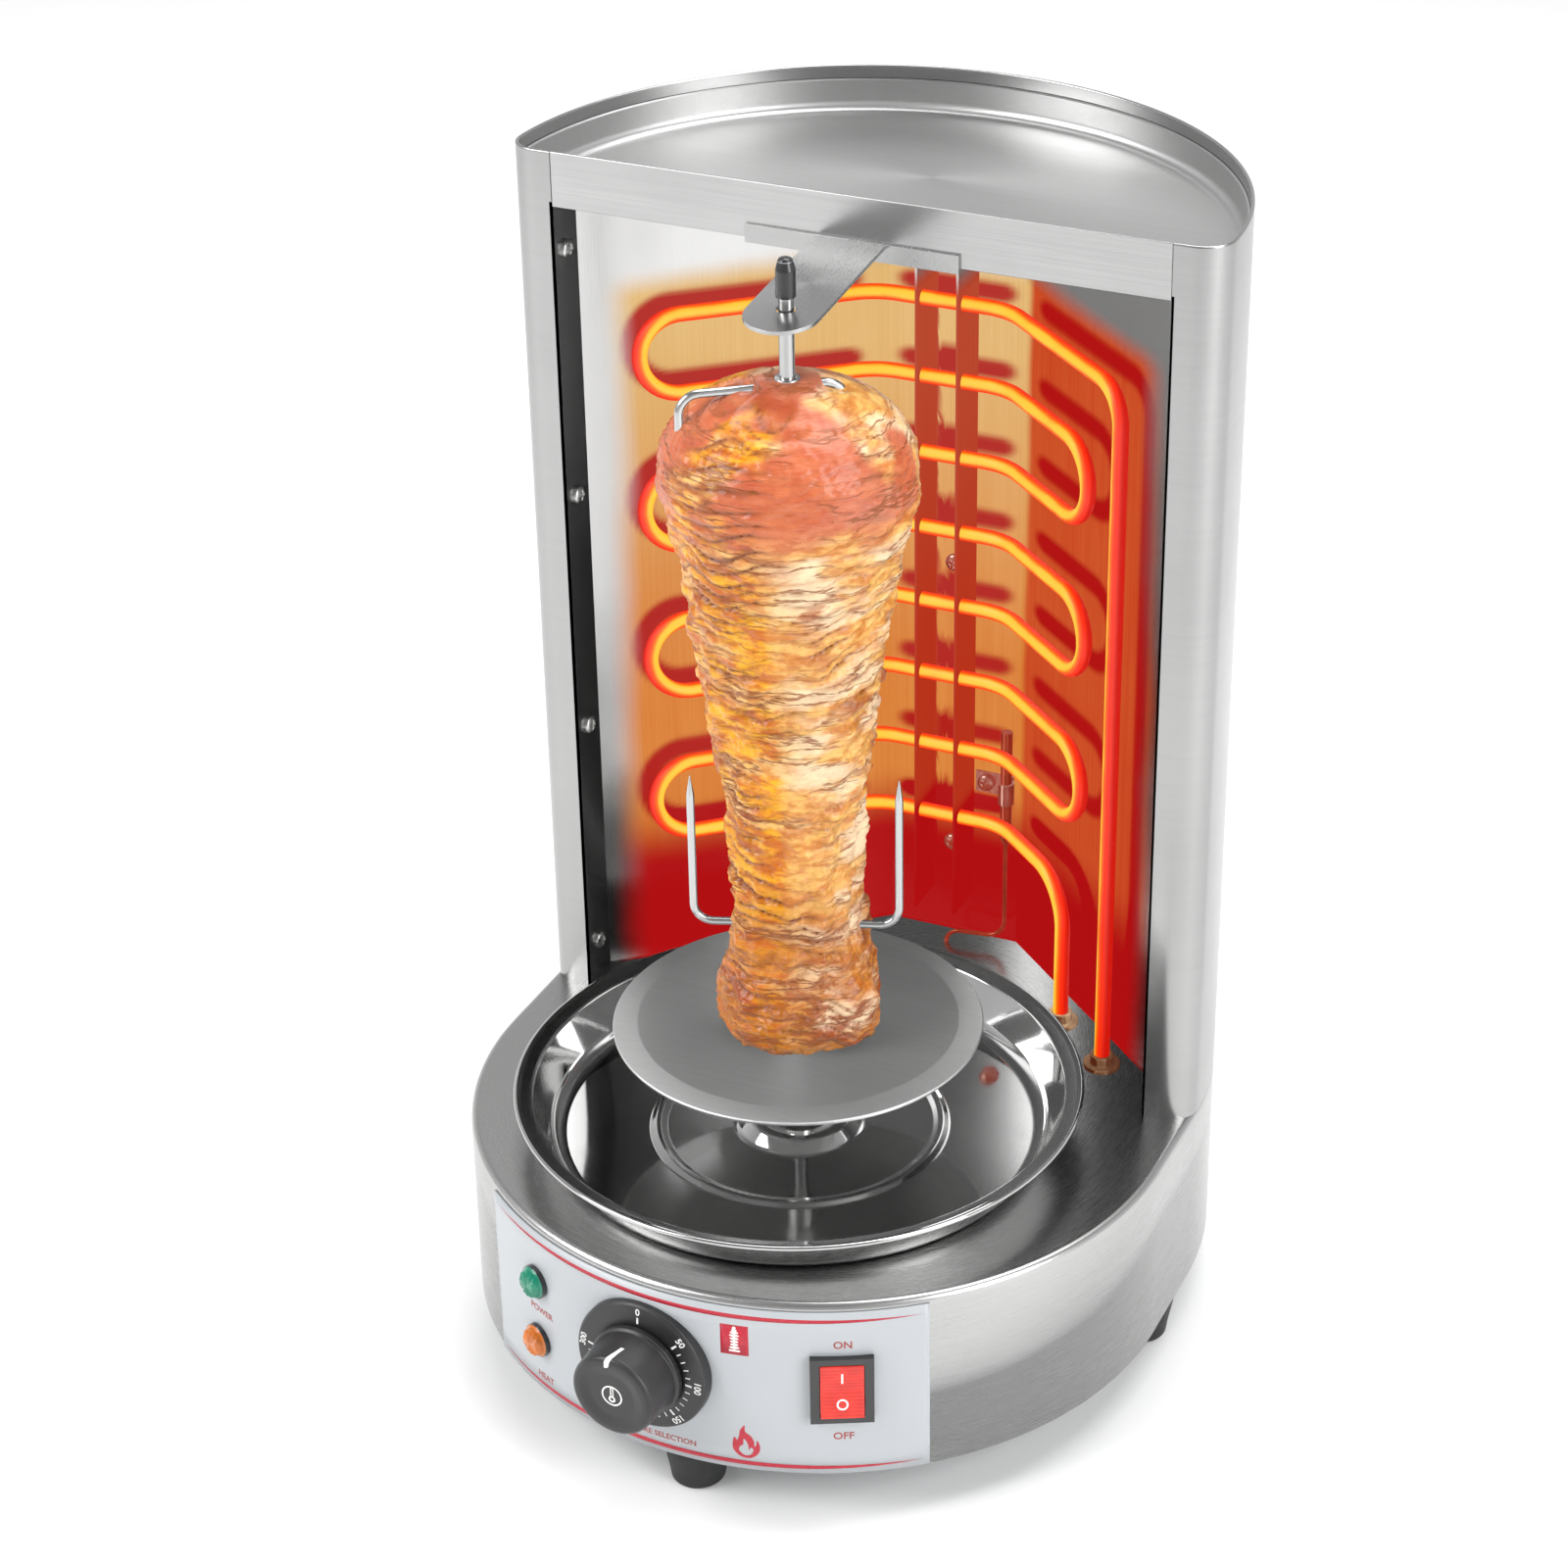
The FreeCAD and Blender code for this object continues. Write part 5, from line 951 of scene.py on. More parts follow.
rod_line = spaced(element_line(), 6 * mm)
inwards = np.column_stack([-rod_line[:, 0], 20 * mm - rod_line[:, 1], np.full(len(rod_line), 40 * mm)])


def glowing_rod():
    """A red-hot metal sheath whose glow colour is painted by side: a yellow core on the side turned inward,
    red on the side towards the reflector.
    """
    tree, shader, material = finish("glowing_rod", colour(0.10, 0.01, 0.004), 0.0, 0.5,
                                    Emission_Strength=1.0)
    side = node(tree, "ShaderNodeAttribute", {"attribute_name": "painted_core_side"}).outputs["Fac"]
    mottle = noise(tree, object_place(tree), 55.0, 4.0)
    side = sums(tree, "ADD", side, sums(tree, "MULTIPLY_ADD", mottle, 0.30, -0.15))
    edge = between(tree, ramp(tree, side, -0.5, 0.3), colour(0.62, 0.004, 0.0), colour(0.97, 0.022, 0.0))
    body = between(tree, ramp(tree, side, 0.3, 0.85), edge, colour(1.0, 0.155, 0.001))
    core = between(tree, ramp(tree, side, 0.70, 0.99), body, colour(1.0, 0.60, 0.04))
    feed(tree, shader, Emission_Color=core)
    bumped(tree, shader, mottle, 0.05 * mm)
    return material


rod_around = 22
rod_points = tube(rod_line, element_radius, inwards, rod_around)
rod_mesh = surface("hot_rod", rod_points, ring=True, caps=True)
# facing_in is 1 on the side turned inward, where the glow's yellow core is painted.
facing_in = np.cos(np.linspace(0, 2 * np.pi, rod_around, endpoint=False))
painted_core_side = rod_mesh.attributes.new("painted_core_side", "FLOAT", "POINT")
painted_core_side.data.foreach_set("value", np.tile(facing_in, len(rod_line)).astype(np.float32))
merged(rod_mesh, outward=True)
hot_rod = show("hot_rod", rod_mesh, glowing_rod(), "base", "hot_element", "heating_element", crease=60)
hot_rod.visible_glossy = False

# ---------------------------------------------------------------------------- reflector
# Bright rolled sheet in three flat panels, its outer edges tucked behind the posts. Near the
# rod the rod's glow is painted on it: amber in the open, a painted deep-red shadow behind each row.


def near_rod(points):
    """How nearly each point lies straight behind the rod.

    With d the distance to the rod's centre line and d0 the clearance there (16.5 mm at the back
    panel, 13.2 mm at the wings), s = sqrt(d^2 - d0^2) runs along the sheet: 1 to 2.2 mm, 0 from 6.2 mm.
    """
    line = spaced(rod_line, 1.2 * mm)
    apart = np.zeros(len(points))
    for start in range(0, len(points), 2000):
        part = points[start:start + 2000]
        square = (part**2).sum(1)[:, None] + (line**2).sum(1)[None] - 2 * part @ line.T
        apart[start:start + 2000] = square.min(1)
    clearance = np.interp(np.abs(points[:, 0]), (29 * mm, 35 * mm), (16.5 * mm, 13.16 * mm))
    aside = np.sqrt(np.clip(apart - clearance**2, 0, None))
    share = np.clip((6.2 * mm - aside) / (4 * mm), 0, 1)
    return share * share * (3 - 2 * share)


def shaded_by_rod(mesh, flange=1.0):
    """Keep near_rod on the mesh as the attribute "near", which places the painted shadow bands; beyond
    flange from the middle it is 0.9.
    """
    points = np.zeros(len(mesh.vertices) * 3)
    mesh.vertices.foreach_get("co", points)
    near = mesh.attributes.new("near", "FLOAT", "POINT")
    points = points.reshape(-1, 3)
    shade = np.where(np.abs(points[:, 0]) > flange, 0.9, near_rod(points))
    near.data.foreach_set("value", shade.astype(np.float32))


def heated_steel(name, tint, roughness, strength=1.0):
    """Bright steel with the rod's light painted on it as a glow inside soft-edged limits, and painted
    deep-red shadow bands where near is high.
    """
    tree, shader, material = finish(name, tint, 1.0, roughness, Emission_Strength=strength,
                                    Specular_Tint=colour(0.3, 0.28, 0.28))
    place = object_place(tree)
    x, _, z = node(tree, "ShaderNodeSeparateXYZ", a=place).outputs
    tone, height = grain_on(tree, place, (1500, 1500, 12))
    soft = sums(tree, "MULTIPLY_ADD", noise(tree, place, 16.0, 2.0), 0.006, -0.003)
    across = sums(tree, "ADD", x, soft)
    level = sums(tree, "ADD", z, soft)
    fall = sums(tree, "MULTIPLY", ramp(tree, level, 0.21, 0.43), 0.004)
    left = ramp(tree, sums(tree, "SUBTRACT", across, fall), -0.1265, -0.113)
    right = ramp(tree, sums(tree, "ADD", across, fall), 0.122, 0.104)
    top = ramp(tree, level, 0.429, 0.415)
    lit = sums(tree, "MULTIPLY", sums(tree, "MULTIPLY", left, right), top)
    near = node(tree, "ShaderNodeAttribute", {"attribute_name": "near"}).outputs["Fac"]
    low = ramp(tree, level, 0.185, 0.150)
    wing = ramp(tree, across, 0.030, 0.036)
    # red: the painted shadow bands behind the rows, plus a redder glow painted low down.
    red = sums(tree, "ADD.", sums(tree, "MULTIPLY", near, 0.97), low)
    streak = ramp(tree, tone, 0.3, 0.7)
    high_amber = between(tree, streak, colour(0.73, 0.44, 0.15), colour(0.80, 0.52, 0.21))
    low_amber = between(tree, streak, colour(0.67, 0.19, 0.03), colour(0.74, 0.26, 0.055))
    amber = between(tree, ramp(tree, level, 0.23, 0.42), low_amber, high_amber)
    wing_glow = between(tree, streak, colour(0.57, 0.052, 0.014), colour(0.64, 0.105, 0.026))
    amber = between(tree, wing, amber, wing_glow)
    glow = between(tree, red, amber, colour(0.44, 0.005, 0.006))
    # The rod's glow is painted on as emission, with the base colour darkened beneath it.
    feed(tree, shader, Emission_Color=between(tree, lit, colour(0, 0, 0), glow),
         Base_Color=between(tree, lit, tint, toned(tint, 0.02)),
         Roughness=ramp(tree, tone, 0.3, 0.7, roughness + 0.05, roughness - 0.05))
    bumped(tree, shader, height, 0.008 * mm)
    return material


painted_glow = heated_steel("heated_steel", colour(0.50, 0.497, 0.493), 0.2)
plan = np.array([
    (-wing_end[0], post_front + 3 * mm), (-wing_end[0], wing_end[1]), (-fold_x, back_y),
    (fold_x, back_y), (wing_end[0], wing_end[1]), (wing_end[0], post_front + 3 * mm),
])
plan = spaced(plan, 2.1 * mm)
levels = np.linspace(top_z + 0.2 * mm, rim_z - 20.7 * mm, 225)
sheet = np.concatenate([np.repeat(plan[:, None], len(levels), 1),
                        np.repeat(levels[None, :, None], len(plan), 0)], axis=2)
sheet_mesh = surface("folded_reflector", sheet)
shaded_by_rod(sheet_mesh)
reflector = show("folded_reflector", sheet_mesh, painted_glow, "base", "reflector_steel", "reflector", crease=20)
thickened(reflector, 0.8 * mm)
reflector.visible_glossy = False

# ---------------------------------------------------------------------------- rod holder, bulb and collars
# A folded channel on the back panel holds all eight rows in its two flanges. The
# thermostat's bulb hangs in a clip beside it; brass collars seal the legs at the base.
# The holder wears the same painted glow and painted shadow bands.
holder = refined("element_holder", "rod_holder", painted_glow, "reflector_steel", edge=0.12 * mm)


def cut_finely(mesh, step):
    """Halve edges longer than step, so that a value kept on the points can vary along them."""
    with edited(mesh) as work:
        bmesh.ops.triangulate(work, faces=work.faces)
        for _ in range(7):
            long = [edge for edge in work.edges if edge.calc_length() > step]
            if not long:
                break
            bmesh.ops.subdivide_edges(work, edges=long, cuts=1)
            bmesh.ops.triangulate(work, faces=[face for face in work.faces if len(face.verts) > 3])


cut_finely(holder.data, 8 * mm)
shaded_by_rod(holder.data, 8 * mm)
holder.visible_glossy = False


def warm_metal(name, tint, glow, roughness=0.25):
    """Bare metal beside the rod: its own colour, with the rod's red light painted on as emission."""
    tree, shader, material = finish(name, tint, 1.0, roughness, Emission_Strength=0.9)
    place = object_place(tree)
    patch = noise(tree, place, 120.0, 3.0)
    feed(tree, shader, Base_Color=between(tree, ramp(tree, patch, 0.3, 0.7), toned(tint, 0.72), tint),
         Emission_Color=between(tree, patch, toned(glow, 0.4), glow))
    bumped(tree, shader, noise(tree, place, 900.0, 2.0), 0.02 * mm)
    return material


copper = warm_metal("copper_painted_glow", colour(0.22, 0.07, 0.04), colour(0.42, 0.03, 0.012))
brass = warm_metal("brass_painted_glow", colour(0.62, 0.42, 0.24), colour(0.12, 0.02, 0.005), 0.24)
zinc_painted_glow = warm_metal("zinc_painted_glow", colour(0.30, 0.22, 0.18), colour(0.42, 0.035, 0.015), 0.25)
glow_painted_pieces = [
    refined("sensing_bulb", "thermostat_bulb", copper, "copper_tube"),
    refined("bulb_clip", "bulb_strap", zinc_painted_glow, "galvanised"),
    refined("element_collars", "leg_collars", brass, "collar_brass", edge=0.3 * mm),
]
for piece in glow_painted_pieces:
    piece.visible_glossy = False
# The capillary wears the rod's red glow, painted on as emission.
coat("capillary_tube", copper)

# ---------------------------------------------------------------------------- screws
# Zinc-plated pan-head screws with a cross recess: four down each post, three in the bay.


def smooth(share):
    """3 s^2 - 2 s^3, with s kept from 0 to 1."""
    share = np.clip(share, 0, 1)
    return share * share * (3 - 2 * share)


def screw_heads(spots, outward, radius=3.8 * mm, height=2.4 * mm):
    """Domed heads with a cross sunk in them.

    The head is a dome, height * sqrt(1 - 0.75 (r/R)^2) at its crown and rounded at its rim; the
    cross takes 1.1 mm from it where either of two bars lies, fading out at 62% of the radius.
    """
    share = np.concatenate([np.linspace(0, 0.93, 22), [0.98, 1.0, 1.0]])
    angle = np.linspace(0, 2 * np.pi, 64, endpoint=False)
    r, t = np.meshgrid(share, angle, indexing="ij")
    x, y = r * np.cos(t), r * np.sin(t)
    dome = height * np.sqrt(1 - 0.75 * r**2)
    dome[-2:] = np.array([[0.35], [0.0]]) * height
    bars = np.maximum(smooth((0.13 - np.abs(x)) / 0.05), smooth((0.13 - np.abs(y)) / 0.05))
    dome -= 1.1 * mm * bars * smooth((0.62 - r) / 0.1)
    heads = []
    for spot, way in zip(spots, outward):
        way = np.array(way, float) / np.linalg.norm(way)
        side = np.cross(way, (0.31, 0.2, 0.93))
        side /= np.linalg.norm(side)
        over = np.cross(way, side)
        disc = x[..., None] * side + y[..., None] * over
        points = np.array(spot) + radius * disc + dome[..., None] * way
        heads.append(surface("head", points.transpose(1, 0, 2), around=True, flip=True))
    return heads


post_levels = top_z + (19 + 106.3 * np.arange(4)) * mm
post_y = post_front + 10 * mm
post_spots = [(side * post_inner, post_y, z) for z in post_levels for side in (-1, 1)]
post_ways = [(-spot[0], 0, 0) for spot in post_spots]
show("post_screw_heads", joined("post_screw_heads", screw_heads(post_spots, post_ways)), bright_zinc,
     "base", "zinc_screw", "post_screws", crease=50)
# The bay screws wear the rod's red glow, painted on as emission.
bay_y = back_y - 1.2 * mm
bay_spots = [(across * mm, bay_y, top_z + up * mm) for across, up in ((0, 46), (0, 182.5), (15.6, 79))]
show("bay_screw_heads", joined("bay_screw_heads", screw_heads(bay_spots, [(0, -1, 0)] * 3)), zinc_painted_glow,
     "base", "zinc_screw", "reflector_screws", crease=50)

# ---------------------------------------------------------------------------- drive
# A gear motor hangs from a bracket under the base top. Its shaft turns a steel socket that
# comes up through a bronze bush and takes the foot of the spit.
for name, material in (("motor_bracket", galvanised), ("gear_motor", galvanised),
                       ("motor_screws", bright_zinc), ("drive_shaft", bright_zinc)):
    coat(name, material)
bronze = zinc("sintered_bronze", colour(0.55, 0.36, 0.18), 1200.0, 0.42)
refined("shaft_bush", "bronze_bush", bronze, "bronze", edge=0.2 * mm)


def mirror_steel(name, tint, roughness, haze=0.05):
    """Polished stainless steel: a mirror with faint wipe marks and hazy patches."""
    tree, shader, material = finish(name, tint, 1.0, roughness)
    place = object_place(tree)
    patch = ramp(tree, noise(tree, place, 28.0, 5.0), 0.45, 0.72)
    wipe = noise(tree, node(tree, "ShaderNodeVectorMath", {"operation": "MULTIPLY"}, a=place,
                            b=(60, 400, 200)).outputs[0], 1.0, 3.0)
    feed(tree, shader, Roughness=sums(tree, "MULTIPLY_ADD", patch, haze, roughness),
         Base_Color=between(tree, patch, tint, toned(tint, 0.93)))
    bumped(tree, shader, wipe, 0.004 * mm)
    return material


polished = mirror_steel("polished_steel", colour(0.70, 0.70, 0.69), 0.06)
refined("drive_coupling", "drive_socket", polished, "polished_stainless", "drive", edge=0.4 * mm)

# ---------------------------------------------------------------------------- drip pan
# A pan pressed from mirror-polished steel: a raised, pierced middle, a ring pressed in the
# floor, a soft heel, a leaning side and a flat rim rolled over at its edge.
pan_low, pan_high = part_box("drip_pan")
spit = np.array([0.0, (pan_low.y + pan_high.y) / 2])
pan_edge = (pan_high.x - pan_low.x) / 2 / mm
floor = pan_low.z / mm + 0.85
rim = pan_high.z / mm
pan_profile = rounded(
    [(7.6, floor + 5.5), (21, floor + 5.5), (26, floor), (54.5, floor), (57, floor + 1.3), (59, floor + 1.3),
     (61.5, floor), (100.5, floor), (108.8, rim - 2.4), (113.6, rim - 1.2), (pan_edge - 0.3, rim - 0.1),
     (pan_edge, rim - 2.2), (pan_edge - 2.2, rim - 3.2)],
    [3, 4, 3, 2, 2, 3, 8, 2.2, 3, 1.0, 1.0], 8,
) * mm
pan = show("pan_pressing", surface("pan_pressing", turned(pan_profile, spit, 192), around=True, flip=True),
           mirror_steel("pan_steel", colour(0.54, 0.54, 0.537), 0.055), "pan", "polished_stainless",
           "drip_pan", crease=50)
thickened(pan, 0.7 * mm)

# ---------------------------------------------------------------------------- spit, disc and cap
# A ground steel rod carries everything that turns. A hub holds a wide flat disc with its
# edge turned down a little, and a soft black vinyl cap covers the rod's upper end.
disc_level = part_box("meat_disc")[1].z
rod_steel = brushed_steel("rod_steel", colour(0.42, 0.42, 0.418), 0.24, (2000, 2000, 40), unwrapped=False)
disc_steel = brushed_steel("disc_steel", colour(0.62, 0.62, 0.617), 0.44, (26, 900, 900), unwrapped=False)
refined("spit_rod", "spit_shaft", rod_steel, "fork_wire", "spit")
refined("disc_hub", "disc_boss", polished, "polished_stainless", "spit", edge=0.5 * mm)
disc_profile = rounded(
    [(2.95, 0), (65, 0), (74.6, -1.05), (75, -1.5), (74.6, -2.6), (65, -1.5), (2.95, -1.5)],
    [6, 0.3, 0.3, 0.3, 6], 6,
) * mm + [0, disc_level]
show("meat_plate", surface("meat_plate", turned(disc_profile, spit, 160), around=True, ring=True, flip=True),
     disc_steel, "spit", "brushed_stainless", "meat_disc")
cap_low, cap_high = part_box("rod_cap")
cap_top = cap_high.z / mm
cap_foot = cap_low.z / mm
cap_profile = rounded(
    [(2.9, cap_foot), (3.8, cap_foot), (3.75, cap_top - 5), (2.6, cap_top - 0.6), (0, cap_top)],
    [0.3, 3, 1.4], 6,
) * mm
vinyl = moulded("black_vinyl", colour(0.010, 0.010, 0.011), 0.24, 700.0, 0.01, Coat_Weight=0.3)
show("vinyl_cap", surface("vinyl_cap", turned(cap_profile, spit, 48), around=True), vinyl, "spit",
     "black_rubber", "rod_cap")

# ---------------------------------------------------------------------------- forks
# Two forks of bright drawn wire, bent square and ground to points, each welded to a ring
# on the rod. The lower one points up beside the meat; the upper one points down into it,
# with a shorter far side that lies inside the meat.
wire = 1.6 * mm
fork_half, fork_reach, fork_point = 41 * mm, 66 * mm, 9 * mm
drawn_wire = brushed_steel("drawn_wire", colour(0.48, 0.48, 0.477), 0.24, (900, 900, 60), unwrapped=False)


def fork(name, node_name, clock, way, far=fork_half):
    """A square-bent wire with tapered tips: its radius falls to a point over the length of a tip."""
    low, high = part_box(node_name)
    level = (low.z + wire) if way > 0 else (high.z - wire)
    turn = math.radians(clock)
    across = np.array([math.cos(turn), math.sin(turn), 0])
    middle = np.array([*spit, level])
    up = np.array([0, 0, 1])
    rise = up * fork_reach * way
    near_side, far_side = middle - across * fork_half, middle + across * far
    line = rounded([near_side + rise, near_side, far_side, far_side + rise], [8 * mm] * 2, 12)
    line = spaced(line, 1.5 * mm)
    from_tip = np.minimum(*(np.linalg.norm(line - line[end], axis=1) for end in (0, -1)))
    radius = wire * np.clip(from_tip / fork_point, 0.06, 1) ** 0.8
    towards = np.tile(np.cross(across, up), (len(line), 1))
    mesh = surface(name, tube(line, radius, towards, 16), ring=True, caps=True)
    ring = rounded([(2.92, -3.5), (4.9, -3.5), (4.9, 3.5), (2.92, 3.5)], [0.5, 0.5], 4) * mm + [0, level]
    band = surface(name, turned(ring, spit, 40), around=True, ring=True)
    whole = joined(name, [mesh, band])
    merged(whole, outward=True)
    show(name, whole, drawn_wire, "spit", "fork_wire", node_name, crease=50)


fork("lower_wire_fork", "lower_fork", 20, 1)
fork("upper_wire_fork", "upper_fork", 36, -1, 22 * mm)

# ---------------------------------------------------------------------------- meat
# Slices of marinated meat threaded on the rod and pressed into a waisted column. Each slice
# rolls over the one below; the skin is browned on the ridges and paler in the folds, where shade is painted
# dark.
meat_low, meat_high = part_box("meat_stack")
meat_tall = meat_high.z - meat_low.z
meat_wide = (meat_high.x - meat_low.x) / 2


def waves(angle, height, around, up, count, seed):
    """Smooth noise on a drum: a sum of sine waves that all close round the turn."""
    draw = np.random.default_rng(seed)
    total = np.zeros(np.broadcast(angle, height).shape)
    for _ in range(count):
        turns = draw.integers(max(1, around // 3), around + 1)
        rise = draw.normal(0, up)
        phase, tilt = draw.uniform(0, 2 * np.pi, 2)
        total = total + np.sin(turns * angle + rise * height + phase + np.sin(angle + tilt))
    return total / math.sqrt(count / 2)


def meat_surface(columns=300, rows=330):
    """Radius over (angle, height): waisted outline, slices, lumps and fine fibres, in mm.

    The outline is wide at each share of the height, eased. A slice's skin stands out as
    sqrt(1 - f^2) across its own height f from -1 to 1, by an amount that changes round the turn,
    so folds open and close. The top is calmer, and dimples towards the rod.
    """
    share = [0, .02, .06, .115, .168, .225, .387, .54, .70, .80, .86, .905, .94, .965, .985, 1.0]
    wide = [.57, .65, .64, .56, .51, .52, .585, .70, .83, .94, 1.02, .99, .87, .70, .47, .2]
    angle = np.linspace(0, 2 * np.pi, columns, endpoint=False)[:, None]
    line = np.linspace(0, 1, rows)[None, :]
    outline = np.interp(line, share, wide)
    kernel = np.hanning(11)
    padded = np.pad(outline[0], 5, mode="edge")
    outline = np.convolve(padded, kernel / kernel.sum(), "valid")[None, :]
    height = line * meat_tall / mm
    lean = 3.2 * waves(angle, height * 0.03, 3, 1.0, 6, 1)
    lean = lean + 1.3 * waves(angle, height * 0.12, 9, 1.0, 8, 2)
    warped = height + lean
    cuts = np.cumsum(np.random.default_rng(5).uniform(3.4, 8.5, 80)) - 12
    slot = np.clip(np.searchsorted(cuts, warped) - 1, 0, len(cuts) - 2)
    thick = cuts[slot + 1] - cuts[slot]
    f = 2 * (warped - cuts[slot]) / thick - 1
    proud = np.random.default_rng(8).normal(0, 1.0, (len(cuts), 3))
    swing = proud[slot, 0] * np.sin(angle + proud[slot, 1] * 3) + proud[slot, 2] * 0.6
    bulge = np.sqrt(np.clip(1 - f**2, 0.0, 1)) * thick * (0.27 + 0.07 * swing)
    open_fold = np.clip(0.5 + 0.6 * waves(angle, height * 0.08, 5, 1.0, 8, 12), 0, 1.3)
    calm = np.clip((0.93 - line) / 0.1, 0.15, 1)
    lumps = 1.5 * waves(angle, height * 0.05, 5, 1.0, 10, 3)
    lumps = lumps + 0.7 * waves(angle, height * 0.2, 14, 1.0, 12, 4)
    fibre = 0.22 * waves(angle, height * 1.6, 30, 1.0, 18, 6)
    fibre = fibre + 0.14 * waves(angle, height * 2.6, 70, 1.0, 18, 7)
    core = outline * meat_wide / mm
    radius = core * 0.965 + (bulge - 1.0) * open_fold * calm + lumps * calm * 0.8 + fibre
    top = np.clip((line - 0.955) / 0.045, 0, 1)
    radius = np.clip(radius * (1 - top) + core * top, 3.2, meat_wide / mm)
    # deep: how far into the fold between two slices a point lies; the material paints shade there.
    deep = np.clip(1 - np.sqrt(np.clip(1 - f**2, 0, 1)), 0, 1) ** 1.5 * open_fold
    browned = bulge * open_fold / 2.4 + 0.3 * lumps / 3
    dimple = np.clip(waves(angle, radius * 0.16, 5, 1.0, 12, 21) + 0.6, 0, 2) * 1.5 * mm
    dimple = dimple * np.clip(top * 2, 0, 1)
    points = np.stack(np.broadcast_arrays(
        spit[0] + radius * mm * np.cos(angle), spit[1] + radius * mm * np.sin(angle),
        meat_low.z + line * meat_tall - dimple * (line < 0.999)), axis=-1)
    return points, deep, browned


def stretched(tree, place, upright):
    """The same place with its height multiplied, so that a pattern lies in level layers."""
    return node(tree, "ShaderNodeVectorMath", {"operation": "MULTIPLY"}, a=place,
                b=(1, 1, upright)).outputs[0]


def kept_value(tree, name):
    """A value that the mesh keeps on its points."""
    return node(tree, "ShaderNodeAttribute", {"attribute_name": name}).outputs["Fac"]


def roast():
    """Roast meat: marinade orange, browned ridges, pale fat and lean, raw pink near the top, and painted
    shade in the folds and creases.
    """
    tree, shader, material = finish(
        "roast_meat", colour(0.6, 0.3, 0.1), 0.0, 0.4, Coat_Weight=0.3, Coat_Roughness=0.1,
        Specular_IOR_Level=0.3, Subsurface_Weight=0.06, Subsurface_Radius=(0.004, 0.002, 0.001))
    place = object_place(tree)
    x, _, z = node(tree, "ShaderNodeSeparateXYZ", a=place).outputs
    slices = stretched(tree, place, 2.6)
    patch = noise(tree, slices, 26.0, 5.0, 0.55)
    blotch = noise(tree, slices, 85.0, 5.0, 0.62)
    strata = stretched(tree, place, 7.5)
    layer = noise(tree, strata, 25.0, 4.0, 0.55)

    # marinade on the left, paler lean and fat towards the right
    orange, gold = colour(0.52, 0.125, 0.0), colour(0.82, 0.38, 0.006)
    tan, cream = colour(0.60, 0.26, 0.06), colour(0.80, 0.50, 0.20)
    fat, crown_fat = colour(0.84, 0.68, 0.47), colour(0.86, 0.70, 0.50)
    marinade = between(tree, ramp(tree, blotch, 0.38, 0.62), orange, gold)
    lean = between(tree, ramp(tree, blotch, 0.4, 0.6), tan, cream)
    pale_side = sums(tree, "MULTIPLY", ramp(tree, x, 0.002, 0.012, -0.25, 0.6),
                     ramp(tree, z, 0.165, 0.26, 0.6, 1.0))
    pale = sums(tree, "ADD.", ramp(tree, patch, 0.50, 0.62), pale_side)
    skin = between(tree, pale, marinade, lean)
    white = sums(tree, "MULTIPLY", ramp(tree, x, 0.006, 0.02), ramp(tree, patch, 0.44, 0.62))
    skin = between(tree, sums(tree, "MULTIPLY", white, 0.7), skin, fat)
    skin = between(tree, ramp(tree, z, 0.4325, 0.4350, 0.0, 0.7), skin, crown_fat)

    # browned ridges, a crust low down, and raw patches near the top
    browned, crusted = colour(0.34, 0.06, 0.002), colour(0.30, 0.05, 0.002)
    raw_dark, raw_pale = colour(0.36, 0.035, 0.008), colour(0.66, 0.19, 0.09)
    brown = sums(tree, "MULTIPLY.", ramp(tree, noise(tree, slices, 55.0, 5.0), 0.50, 0.62),
                 kept_value(tree, "browned"))
    skin = between(tree, brown, skin, browned)
    low = ramp(tree, z, 0.245, 0.185, 0.0, 0.85)
    crust = sums(tree, "MULTIPLY.", low, ramp(tree, blotch, 0.44, 0.58))
    skin = between(tree, crust, skin, crusted)
    raw_patch = ramp(tree, noise(tree, place, 24.0, 2.0), 0.44, 0.54, 0.0, 0.92)
    raw = sums(tree, "MULTIPLY.", ramp(tree, z, 0.372, 0.400), raw_patch)
    skin = between(tree, raw, skin, between(tree, blotch, raw_dark, raw_pale))

    # painted shade dark in the folds and along fine creases, and flecks of spice
    painted_fold_shade = sums(tree, "MULTIPLY.", kept_value(tree, "deep"), ramp(tree, blotch, 0.25, 0.55, 0.9, 1.5))
    skin = between(tree, painted_fold_shade, skin, colour(0.22, 0.05, 0.008))
    off_line = sums(tree, "ABSOLUTE", sums(tree, "MULTIPLY_ADD", layer, 26.0, -13.0))
    crease = ramp(tree, sums(tree, "SUBTRACT", 1.0, off_line), 0.1, 1.0, 0.0, 0.85)
    crease = sums(tree, "MULTIPLY.", crease, ramp(tree, patch, 0.38, 0.58))
    skin = between(tree, crease, skin, colour(0.26, 0.06, 0.006))
    fleck = ramp(tree, noise(tree, place, 420.0, 4.0, 0.6), 0.66, 0.74, 0.0, 0.55)
    skin = between(tree, fleck, skin, colour(0.20, 0.05, 0.01))
    feed(tree, shader, Base_Color=skin, Roughness=ramp(tree, patch, 0.35, 0.65, 0.26, 0.5))
    fine = sums(tree, "ADD", sums(tree, "MULTIPLY", noise(tree, strata, 60.0, 5.0), 0.5),
                sums(tree, "MULTIPLY", layer, 1.3))
    fine = sums(tree, "SUBTRACT", fine, sums(tree, "MULTIPLY", crease, 0.35))
    bumped(tree, shader, fine, 1.6 * mm, 0.9)
    return material


